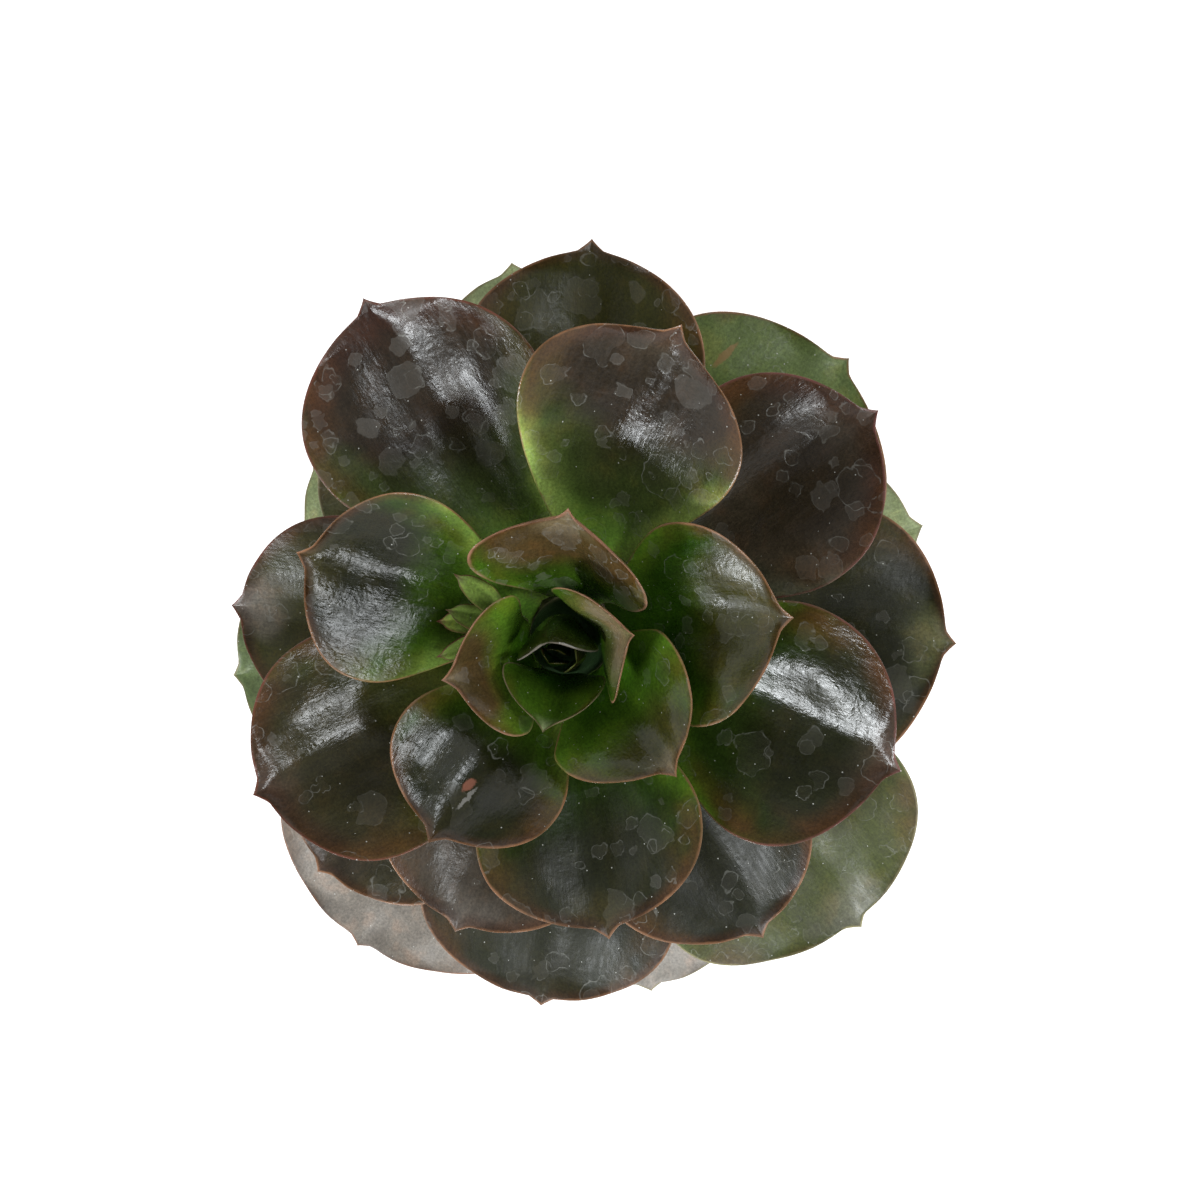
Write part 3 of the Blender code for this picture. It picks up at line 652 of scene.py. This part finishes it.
def make_oval_mark_group():
    """A ragged oval mark at a slant to the blade: 1 within it and 0 away from it."""
    inputs = dict(Vector="Blade Centre", Float="Long Wide Slant")
    tree, n, given, out = new_group("blemish", inputs, dict(Float="Mask"))
    ragged = n.shove(given["Blade"], 0.7, 1.1, 3, 0.7)
    place = n.vector("SUBTRACT", given["Blade"], given["Centre"])
    x, y, _ = n.parts(n.vector("ADD", place, ragged))
    cosine, sine = n.math("COSINE", given["Slant"]), n.math("SINE", given["Slant"])
    u = n.math("ABSOLUTE", n.times_add(x, cosine, n.times(y, sine)))
    v = n.math("ABSOLUTE", n.math("SUBTRACT", n.times(y, cosine), n.times(x, sine)))
    far = n.math("POWER", n.math("DIVIDE", u, given["Long"]), 2.0)
    far = n.math("ADD", far, n.math("POWER", n.math("DIVIDE", v, given["Wide"]), 2.0))
    n.plug(out["Mask"], n.step(far, 0.10, 0.26, 1, 0))
    return tree


def new_material(name):
    """A material with a Principled shader: itself, its node helper and the shader's inputs."""
    material = bpy.data.materials.new(name)
    material.use_nodes = True
    material.node_tree.nodes.clear()
    n = Nodes(material.node_tree)
    shader = n.add("ShaderNodeBsdfPrincipled")
    n.plug(n.add("ShaderNodeOutputMaterial").inputs["Surface"], shader.outputs[0])
    return material, n, shader.inputs


def painted(name, paint, *details, specular=0.5):
    """A material whose paint function gives its colour, its roughness and its relief in millimetres."""
    material, n, shader = new_material(name)
    colour, rough, height = paint(n, *details)
    n.plug(shader["Base Color"], colour)
    n.plug(shader["Roughness"], rough)
    n.plug(shader["Specular IOR Level"], specular)
    bump = n.add("ShaderNodeBump")
    n.plug(bump.inputs["Distance"], MM)
    n.plug(bump.inputs["Height"], height)
    n.plug(shader["Normal"], bump.outputs[0])
    return material


def waxy_skin(n, name, groups, seed=0):
    """The leaf's own colours, margin and bloom, with water marks, white specks that are painted glints, grain,
    healed damage and a streak that is a painted highlight.
    """
    colours, marks, grain, blemish = groups
    look = LOOKS[name]
    blade, place = n.attribute("leaf_mm"), n.attribute("leaf_place")
    upper = n.attribute("leaf_upper", "Fac")
    own = {key.capitalize(): value for key, value in look._asdict().items() if key not in ("marks", "dull")}
    skin = n.group(colours, Place=place, Blade=blade, Upper=upper, **own)
    drops = n.group(marks, Blade=blade, Amount=look.marks)
    relief = n.group(grain, Blade=blade)
    film = n.times(drops["Film"], upper)
    edge = n.times(drops["Edge"], upper)
    colour = n.mix(n.times(film, 0.06 + 0.08 * look.marks**2), skin["Colour"], (0.30, 0.28, 0.24))
    colour = n.mix(n.times(edge, 0.26), colour, (0.50, 0.50, 0.45))
    # near-white specks mixed into the colour: painted glints
    colour = n.mix(n.times(drops["Speck"], 0.75), colour, (0.80, 0.80, 0.74))
    # healed scars, and on leaf_07 a pale streak that is a painted highlight
    for (x, y), long, wide, slant, hue in DAMAGE_AND_PAINTED_HIGHLIGHT.get(name, ()):
        centre = (x + BLADE_SPACING * seed, y, 0)
        here = n.group(blemish, Blade=blade, Centre=centre, Long=long, Wide=wide, Slant=slant)
        colour = n.mix(here["Mask"], colour, hue)
    rough = n.times_add(relief["Sheen"], 0.15, 0.135 + look.dull)
    rough = n.times_add(skin["Bloom"], 0.5, rough)
    rough = n.times_add(film, 0.14, rough)
    return colour, rough, n.times_add(drops["Edge"], 0.012, relief["Height"])


def fired_clay(n):
    """Fired clay: mottled orange-brown, fine pits, turning lines, and lime that has crept up and out."""
    spot = n.spot()
    cloud = n.noise(spot, 14 * MM, 4, 0.6)
    speckle = n.noise(spot, 1.1 * MM, 4, 0.7)
    colour = n.mix(n.step(cloud, 0.3, 0.7), (0.39, 0.145, 0.068), (0.53, 0.235, 0.128))
    colour = n.mix(n.step(speckle, 0.55, 0.75, 0, 0.5), colour, (0.62, 0.35, 0.22))
    colour = n.mix(n.step(speckle, 0.28, 0.40, 0.55, 0), colour, (0.26, 0.095, 0.050))
    low = n.swing(cloud, 50 * MM, n.parts(spot)[2])
    risen, dried = n.step(low, 6 * MM, 30 * MM, 0.75, 0.0), n.step(low, 44 * MM, 60 * MM, 0.0, 0.30)
    lime = n.times(n.math("MAXIMUM", risen, dried), n.step(n.noise(spot, 3.2 * MM, 5, 0.75), 0.40, 0.66))
    colour = n.mix(lime, colour, (0.64, 0.56, 0.48))
    rings = n.noise(n.vector("MULTIPLY", spot, (0.05, 0.05, 1)), 0.9 * MM, 3, 0.6)
    height = n.times_add(n.step(speckle, 0.30, 0.42), 0.10, n.times(rings, 0.10))
    height = n.times_add(lime, 0.06, height)
    return colour, n.times_add(speckle, 0.15, 0.80), height


def potting_soil(n):
    """Damp peat: nearly black brown, with paler crumbs and fibres."""
    spot = n.spot()
    crumb = n.noise(spot, 1.4 * MM, 5, 0.7)
    colour = n.mix(n.step(crumb, 0.35, 0.7), (0.016, 0.010, 0.007), (0.085, 0.055, 0.035))
    far, chance = n.cells(spot, 0.9 * MM, flat=False)
    colour = n.mix(n.times(n.step(chance[0], 0.8, 0.95), 0.7), colour, (0.20, 0.14, 0.085))
    return colour, n.step(crumb, 0.3, 0.7, 0.75, 1.0), n.times_add(crumb, 0.8, n.times(far, 0.3))


def stones(n):
    """Pumice, dark lava and bark, one kind a stone."""
    spot = n.spot()
    kind = n.attribute("stone", "Fac")
    colour = n.mix(n.step(kind, 0.30, 0.34), (0.42, 0.36, 0.28), (0.11, 0.065, 0.040))
    colour = n.mix(n.step(kind, 0.70, 0.74), colour, (0.060, 0.052, 0.048))
    pitted = n.noise(spot, 0.5 * MM, 4, 0.7)
    colour = n.mix(n.step(pitted, 0.3, 0.6, 0.6, 0), colour, (0.03, 0.022, 0.016))
    return colour, n.step(pitted, 0.3, 0.7, 0.95, 0.8), n.times(pitted, 0.25)


def bark(n):
    """Corky stem: grey-brown with pale scars and fine cracks across it."""
    spot = n.spot()
    scar = n.attribute("scar", "Fac")
    cloud = n.noise(spot, 4 * MM, 4, 0.6)
    cracks = n.noise(n.vector("MULTIPLY", spot, (1, 1, 2.6)), 1.3 * MM, 5, 0.7)
    colour = n.mix(n.step(cloud, 0.3, 0.7), (0.130, 0.105, 0.060), (0.235, 0.195, 0.125))
    colour = n.mix(n.step(cracks, 0.28, 0.46, 0.7, 0), colour, (0.055, 0.040, 0.026))
    colour = n.mix(n.times(scar, 0.7), colour, (0.36, 0.29, 0.20))
    young = n.step(n.parts(spot)[2], SHOULDER, SHOULDER + 0.4 * DOME_HEIGHT)
    colour = n.mix(young, colour, (0.010, 0.040, 0.003))
    return colour, n.step(cracks, 0.3, 0.7, 0.9, 0.7), n.times(cracks, 0.30)


def young_stalk(n):
    """Young green stalk with a red flush."""
    spot = n.spot()
    cloud = n.noise(spot, 2 * MM, 3, 0.6)
    colour = n.mix(n.step(cloud, 0.4, 0.7), (0.15, 0.25, 0.06), (0.20, 0.13, 0.07))
    rough = n.step(cloud, 0.3, 0.7, 0.40, 0.55)
    return colour, rough, n.times(n.noise(spot, 0.4 * MM, 3), 0.05)


# ---------------- pieces


def make_leaves():
    """The rosette's leaves, from the youngest in the bud outwards, and then the side shoot."""
    groups = make_skin_colour_group(), make_water_marks_group(), make_grain_group(), make_oval_mark_group()
    slots = {f"leaf_{n:02d}": "dark_leaf" for n in range(12, 32)}
    slots.update({f"leaf_{n:02d}": "green_leaf" for n in (22, 24, 25, 26, 27, 29, 30)})
    slots.update({"leaf_28": "grey_leaf", "leaf_31": "grey_leaf"})
    for number, leaf in enumerate(LEAVES):
        azimuth = FIRST_AZIMUTH + GOLDEN_ANGLE * number + leaf.turn
        radius, height = leaf_seat(number, leaf.rise_foot)
        seat = (radius * cos(radians(azimuth)), radius * sin(radians(azimuth)), height)
        size = SMALL_GRID if leaf.name.startswith("bud") else LARGE_GRID
        grid, places = leaf_grid(leaf, azimuth, np.array(seat), *size, number + 1)
        mesh = closed_skin("grown_" + leaf.name, grid, places)
        skin = painted(leaf.name + "_skin", waxy_skin, leaf.name, groups, number + 1, specular=LEAF_GLOSS)
        piece("grown_" + leaf.name, mesh, skin, slots.get(leaf.name, "olive_leaf"), leaf.name)
    make_side_shoot(groups)


def make_side_shoot(groups):
    """A short stalk, which is a disc carried along a straight line, and four small pointed leaves."""
    out = np.array([cos(radians(STALK_AZIMUTH)), sin(radians(STALK_AZIMUTH)), 0])
    rise = radians(STALK_RISE)
    forward = out * cos(rise) + np.array([0, 0, sin(rise)])
    stem_here = STEM_RADIUS * np.sqrt(1 - ((STALK_START - SHOULDER) / DOME_HEIGHT) ** 2)
    start = out * (stem_here + GAP + STALK_RADIUS * sin(rise)) + np.array([0, 0, STALK_START])
    end = start + forward * STALK_LENGTH
    side = np.array([-out[1], out[0], 0])
    above = np.cross(forward, side)
    along = np.array([0, 0, 0.02, 0.06, 0.3, 0.5, 0.7, 0.94, 0.98, 1, 1])[:, None, None]
    width = np.array([0, 0.8, 0.95, 1, 0.96, 0.93, 0.95, 1, 0.95, 0.8, 0])[:, None, None] * STALK_RADIUS
    turn = (2 * pi * np.arange(28) / 28)[None, :, None]
    grid = start + (end - start) * along + width * (np.cos(turn) * side + np.sin(turn) * above)
    green = painted("young_stalk", young_stalk)
    piece("young_stalk", closed_skin("young_stalk", grid), green, "young_leaf", "side_stalk")
    skin = painted("side_leaf_skin", waxy_skin, "side_leaf", groups, specular=LEAF_GLOSS)
    for number, (azimuth, length, leaf_rise, twist, aside, over) in enumerate(SIDE_LEAVES, 1):
        name = f"side_leaf_{number}"
        leaf = SIDE_LEAF._replace(name=name, length=length, rise_foot=leaf_rise, twist=twist)
        seat = end + forward * 2 * GAP + (side * aside + above * over) * MM
        grid, places = leaf_grid(leaf, azimuth, seat, *SMALL_GRID, SIDE_SEED + number)
        piece("grown_" + name, closed_skin("grown_" + name, grid, places), skin, "young_leaf", name)


def turned(profile, steps):
    """Grid of a (radius, height) profile turned about the Z axis: x = r cos a, y = r sin a."""
    profile = np.array(profile)
    angle = 2 * pi * np.arange(steps) / steps
    radius, height = profile[:, :1], profile[:, 1:]
    return np.stack([radius * np.cos(angle), radius * np.sin(angle), height + 0 * angle], -1)


def fine_profile(corners, step):
    """Points every step along the straight lines between the corners."""
    points = []
    for first, last in zip(corners, corners[1:]):
        count = max(1, int(np.ceil(np.hypot(last[0] - first[0], last[1] - first[1]) / step)))
        share = np.arange(count)[:, None] / count
        points.append(np.array(first) + share * (np.array(last) - np.array(first)))
    return np.concatenate([*points, [corners[-1]]])


def arc(centre, radius, start, end, points):
    """(radius, height) points on a circle of the profile, from one angle in degrees to another."""
    angles = [radians(start + (end - start) * i / (points - 1)) for i in range(points)]
    return [(centre[0] + radius * cos(a), centre[1] + radius * sin(a)) for a in angles]


def inner_radius(height):
    """Radius of the pot's inside at a height."""
    share = (height - FLOOR) / (POT_HEIGHT - FLOOR)
    bottom = FOOT_RADIUS - WALL + 0.5 * MM
    return bottom + share * (RIM_RADIUS - WALL - bottom)


def make_pot():
    """A turned wall, floor and rim band. Turning rings, sines of the height, and a slight oval lie on it."""
    lip = WALL / 2 - 0.4 * MM
    band_foot = POT_HEIGHT - RIM_BAND
    band_radius = RIM_RADIUS - 0.6 * MM
    edge, corner = 1.1 * MM, 0.6 * MM
    below_band = RIM_RADIUS - RIM_STEP - corner
    inside = [(0, FLOOR), (inner_radius(FLOOR) - MM, FLOOR), (inner_radius(FLOOR + MM), FLOOR + MM)]
    rim = arc((RIM_RADIUS - WALL + lip, POT_HEIGHT - lip), lip, 180, 90, 9)
    rim += arc((RIM_RADIUS - lip, POT_HEIGHT - lip), lip, 90, 0, 9)
    band = arc((band_radius - edge, band_foot + edge), edge, 0, -90, 7)
    band += arc((below_band + corner, band_foot - corner), corner, 90, 180, 5)
    foot = arc((FOOT_RADIUS - edge, edge), edge, 0, -90, 6)
    profile = fine_profile(inside + rim + band + foot + [(0, 0)], 1.2 * MM)
    grid = turned(profile, 192)
    r = np.hypot(grid[..., 0], grid[..., 1])
    z = grid[..., 2]
    angle = np.arctan2(grid[..., 1], grid[..., 0])
    outside = (r > inner_radius(z) + 3 * MM) & (z > 2 * MM)
    rings = 0.05 * np.sin(z / (1.1 * MM) + 0.7 * np.sin(z / (4 * MM)))
    oval = 0.12 * np.sin(2 * angle + z / (20 * MM))
    push = np.where(outside, rings + oval - 0.12, 0) * MM
    grid[..., :2] *= (1 + push / np.maximum(r, MM))[..., None]
    pot = piece("clay_pot", closed_skin("clay_pot", grid), painted("fired_clay", fired_clay), "clay", "pot")
    for number in range(DRAINS):
        bore_drain(pot, 2 * pi * (number + 0.5) / DRAINS)


def bore_drain(pot, angle):
    """Cuts an upright round hole through the pot's floor."""
    low, high = -4 * MM, FLOOR + 4 * MM
    hole = turned([(0, low), (DRAIN_RADIUS, low), (DRAIN_RADIUS, high), (0, high)], 40)
    hole += (DRAIN_CIRCLE * cos(angle), DRAIN_CIRCLE * sin(angle), 0)
    cutter = placed("drain_cutter", closed_skin("drain_cutter", hole))
    cut = pot.modifiers.new("drain", "BOOLEAN")
    cut.operation = "DIFFERENCE"
    cut.object = cutter
    made = bpy.data.meshes.new_from_object(pot.evaluated_get(bpy.context.evaluated_depsgraph_get()))
    pot.modifiers.clear()
    pot.data = made
    bpy.data.objects.remove(cutter)


def soil_height(x, y):
    """Height of the soil's top: broad swells and crumbs, sums of sines of the place."""
    broad = np.sin(310 * x + 1.0) * np.cos(270 * y) + 0.6 * np.sin(550 * y + 420 * x)
    crumbs = np.sin(2100 * x + 3 * np.sin(900 * y)) * np.sin(2300 * y + 3 * np.sin(1100 * x))
    fine = np.sin(5200 * x + 4 * np.sin(2600 * y)) * np.sin(4900 * y + 4 * np.sin(2900 * x))
    return SOIL_TOP + (0.35 * (broad / 1.6 - 1) + 0.35 * crumbs + 0.16 * fine) * MM


def make_soil():
    """A plug that fills the pot: its profile is turned, and its top follows soil_height."""
    pocket = STEM_RADIUS + GAP
    pocket_floor = STEM_ROOT - GAP
    low, corner = FLOOR + GAP, 1.4 * MM
    top_radius = inner_radius(SOIL_TOP) - GAP
    profile = [(0, pocket_floor), (pocket, pocket_floor), (pocket, SOIL_TOP - 1.5 * MM)]
    profile += [(pocket + (top_radius - pocket) * share, SOIL_TOP) for share in np.linspace(0, 1, 90)]
    profile += [(inner_radius(FLOOR + corner) - GAP, FLOOR + corner)]
    profile += [(inner_radius(FLOOR) - corner, low), (0, low)]
    grid = turned(profile, 240)
    on_top = np.abs(grid[..., 2] - SOIL_TOP) < 1e-6
    grid[..., 2] = np.where(on_top, soil_height(grid[..., 0], grid[..., 1]), grid[..., 2])
    damp = painted("damp_potting_soil", potting_soil)
    piece("damp_soil", closed_skin("damp_soil", grid), damp, "potting_soil", "soil")


def make_grit():
    """Several hundred stones: one twenty-sided ball, roughened, stretched, turned and moved for each."""
    rng = np.random.default_rng(7)
    count = 620
    t = (1 + 5**0.5) / 2
    unit = np.array([[-1, t, 0], [1, t, 0], [-1, -t, 0], [1, -t, 0], [0, -1, t], [0, 1, t]])
    unit = np.concatenate([unit, [[0, -1, -t], [0, 1, -t], [t, 0, -1], [t, 0, 1], [-t, 0, -1], [-t, 0, 1]]])
    unit /= np.linalg.norm(unit[0])
    faces = "0 11 5 0 5 1 0 1 7 0 7 10 0 10 11 1 5 9 5 11 4 11 10 2 10 7 6 7 1 8 "
    faces += "3 9 4 3 4 2 3 2 6 3 6 8 3 8 9 4 9 5 2 4 11 6 2 10 8 6 7 9 8 1"
    faces = np.array(faces.split(), int).reshape(-1, 3)
    size = rng.uniform(0.4, 1.3, count) ** 1.2 * MM
    stretch = rng.uniform(0.6, 1.3, (count, 1, 3)) * (1, 1, 0.75)
    bumpy = unit[None] * rng.uniform(0.82, 1.12, (count, 12, 1)) * stretch * size[:, None, None]
    axes = np.linalg.qr(rng.normal(size=(count, 3, 3)))[0]
    axes *= np.sign(np.linalg.det(axes))[:, None, None]
    radius = np.sqrt(rng.uniform((8 * MM) ** 2, (32.5 * MM) ** 2, count))
    angle = rng.uniform(0, 2 * pi, count)
    x, y = radius * np.cos(angle), radius * np.sin(angle)
    centre = np.stack([x, y, soil_height(x, y) + size * 0.25], 1)
    points = bumpy @ axes + centre[:, None]
    mesh = bpy.data.meshes.new("soil_grit")
    all_faces = faces[None] + 12 * np.arange(count)[:, None, None]
    mesh.from_pydata(points.reshape(-1, 3).tolist(), [], all_faces.reshape(-1, 3).tolist())
    stone = np.repeat(rng.uniform(0, 1, count), 12).astype(np.float32)
    mesh.attributes.new("stone", "FLOAT", "POINT").data.foreach_set("value", stone)
    piece("soil_grit", mesh, painted("soil_grit", stones), "potting_soil")


def make_stem():
    """A turned stem with a domed top. Each old leaf left a shallow oval scar, a dip with a raised lip."""
    steps = [radians(a) for a in np.linspace(0, 90, 16)]
    profile = [(STEM_RADIUS * sin(a), SHOULDER + DOME_HEIGHT * cos(a)) for a in steps]
    profile += [(STEM_RADIUS, z) for z in np.linspace(SHOULDER, STEM_ROOT + MM, 150)[1:]]
    profile += [(STEM_RADIUS - MM, STEM_ROOT), (0, STEM_ROOT)]
    grid = turned(profile, 144)
    z, angle = grid[..., 2], np.arctan2(grid[..., 1], grid[..., 0])
    push, scars = 0 * z, 0 * z
    for number in range(len(LEAVES), len(LEAVES) + OLD_LEAVES):
        away = (angle - radians(FIRST_AZIMUTH + GOLDEN_ANGLE * number) + pi) % (2 * pi) - pi
        height = TOP_SCAR - SCAR_PITCH * (number - len(LEAVES))
        drop = z - height + 0.15 * np.abs(away) * 4 * MM
        oval = np.hypot(away * STEM_RADIUS / SCAR_HALF_WIDTH, drop / SCAR_HALF_HEIGHT)
        push -= 0.28 * MM * ramp(1.15 - oval)
        push += 0.16 * MM * np.exp(-(((oval - 1.15) / 0.22) ** 2))
        scars = np.maximum(scars, ramp((1.0 - oval) * 2))
    rough = 0.08 * MM * np.sin(z / (0.7 * MM) + 2 * np.sin(3 * angle)) * np.sin(5 * angle + z / (2 * MM))
    bare = ramp((SHOULDER - z) / (4 * MM)) * ramp((z - STEM_ROOT - MM) / (2 * MM))
    grid[..., :2] *= (1 + bare * (push + rough - 0.15 * MM) / STEM_RADIUS)[..., None]
    mesh = closed_skin("corky_stem", grid, {"scar": scars[..., None]})
    piece("corky_stem", mesh, painted("corky_stem", bark), "bark", "stem")


# ---------------- setting


WINDOW_DISTANCE = 0.75
LIT_HEIGHT = 90 * MM  # where the windows' light is aimed
WINDOWS = [
    # name, azimuth, elevation, size, power, colour
    ("window_west", -129, 32, 0.17, 3.1, (0.93, 0.97, 1.0)),
    ("window_south", -50, 47, 0.14, 1.3, (0.95, 0.98, 1.0)),
    ("window_east", 14, 43, 0.15, 1.25, (0.93, 0.97, 1.0)),
]
CAMERA_AZIMUTH = 45
CAMERA_TILT = 12  # from straight above
CAMERA_DISTANCE = 0.450
SEEN_HEIGHT = 110 * MM  # of the rosette's middle
CAMERA_AIM = (6.77 * MM, 7.92 * MM)  # aside and up from that middle
CAMERA_LENS = 93.7


def make_window(name, azimuth, elevation, size, power, colour):
    """A square soft light that faces the plant. Angles in degrees, size in metres and power in watts."""
    light = bpy.data.lights.new(name, "AREA")
    light.size, light.energy, light.color = size, power, colour
    a, e = radians(azimuth), radians(elevation)
    way = Vector((cos(e) * cos(a), cos(e) * sin(a), sin(e)))
    obj = placed(name, light)
    obj.location = Vector((0, 0, LIT_HEIGHT)) + way * WINDOW_DISTANCE
    obj.rotation_mode = "QUATERNION"
    obj.rotation_quaternion = (-way).to_track_quat("-Z", "Y")


def make_setting():
    """A plain pale floor, three windows, and a sky that is bright low down, dark above and grey overhead."""
    floor_mesh = bpy.data.meshes.new("floor")
    half = 3.0
    corners = [(-half, -half, 0), (half, -half, 0), (half, half, 0), (-half, half, 0)]
    floor_mesh.from_pydata(corners, [], [(0, 1, 2, 3)])
    floor = placed("floor", floor_mesh)
    material, n, shader = new_material("pale_floor")
    n.plug(shader["Base Color"], (0.92, 0.92, 0.92))
    n.plug(shader["Roughness"], 0.9)
    n.plug(shader["Specular IOR Level"], 0.1)
    n.plug(shader["Emission Color"], (1, 1, 1))
    n.plug(shader["Emission Strength"], 0.7)
    floor_mesh.materials.append(material)

    world = bpy.data.worlds.new("studio")
    bpy.context.scene.world = world
    world.use_nodes = True
    world.node_tree.nodes.clear()
    w = Nodes(world.node_tree)
    up = w.parts(w.add("ShaderNodeTexCoord").outputs["Generated"])[2]
    background = w.add("ShaderNodeBackground")
    sky = w.mix(w.step(up, 0.36, 0.64), (1.00, 1.00, 1.00), (0.15, 0.155, 0.16))
    w.plug(background.inputs["Color"], w.mix(w.step(up, 0.87, 0.97), sky, (0.38, 0.385, 0.40)))
    w.plug(w.add("ShaderNodeOutputWorld").inputs["Surface"], background.outputs[0])
    for window in WINDOWS:
        make_window(*window)


def make_camera():
    """Looks down on the rosette, a little off its axis, with its right side towards +X."""
    tilt, way = radians(CAMERA_TILT), radians(CAMERA_AZIMUTH)
    back = Vector((sin(tilt) * cos(way), sin(tilt) * sin(way), cos(tilt)))
    right = Vector((0, 1, 0)).cross(back).normalized()
    top = back.cross(right)
    camera = placed("camera", bpy.data.cameras.new("camera"))
    camera.data.sensor_width = 36
    camera.data.lens = CAMERA_LENS
    camera.data.clip_start = 0.01
    aside, over = CAMERA_AIM
    place = Vector((0, 0, SEEN_HEIGHT)) + right * aside + top * over + back * CAMERA_DISTANCE
    camera.matrix_world = Matrix.Translation(place) @ Matrix((right, top, back)).transposed().to_4x4()
    bpy.context.scene.camera = camera


make_pot()
make_soil()
make_grit()
make_stem()
make_leaves()
make_setting()
make_camera()
bpy.context.scene.view_settings.view_transform = "Standard"
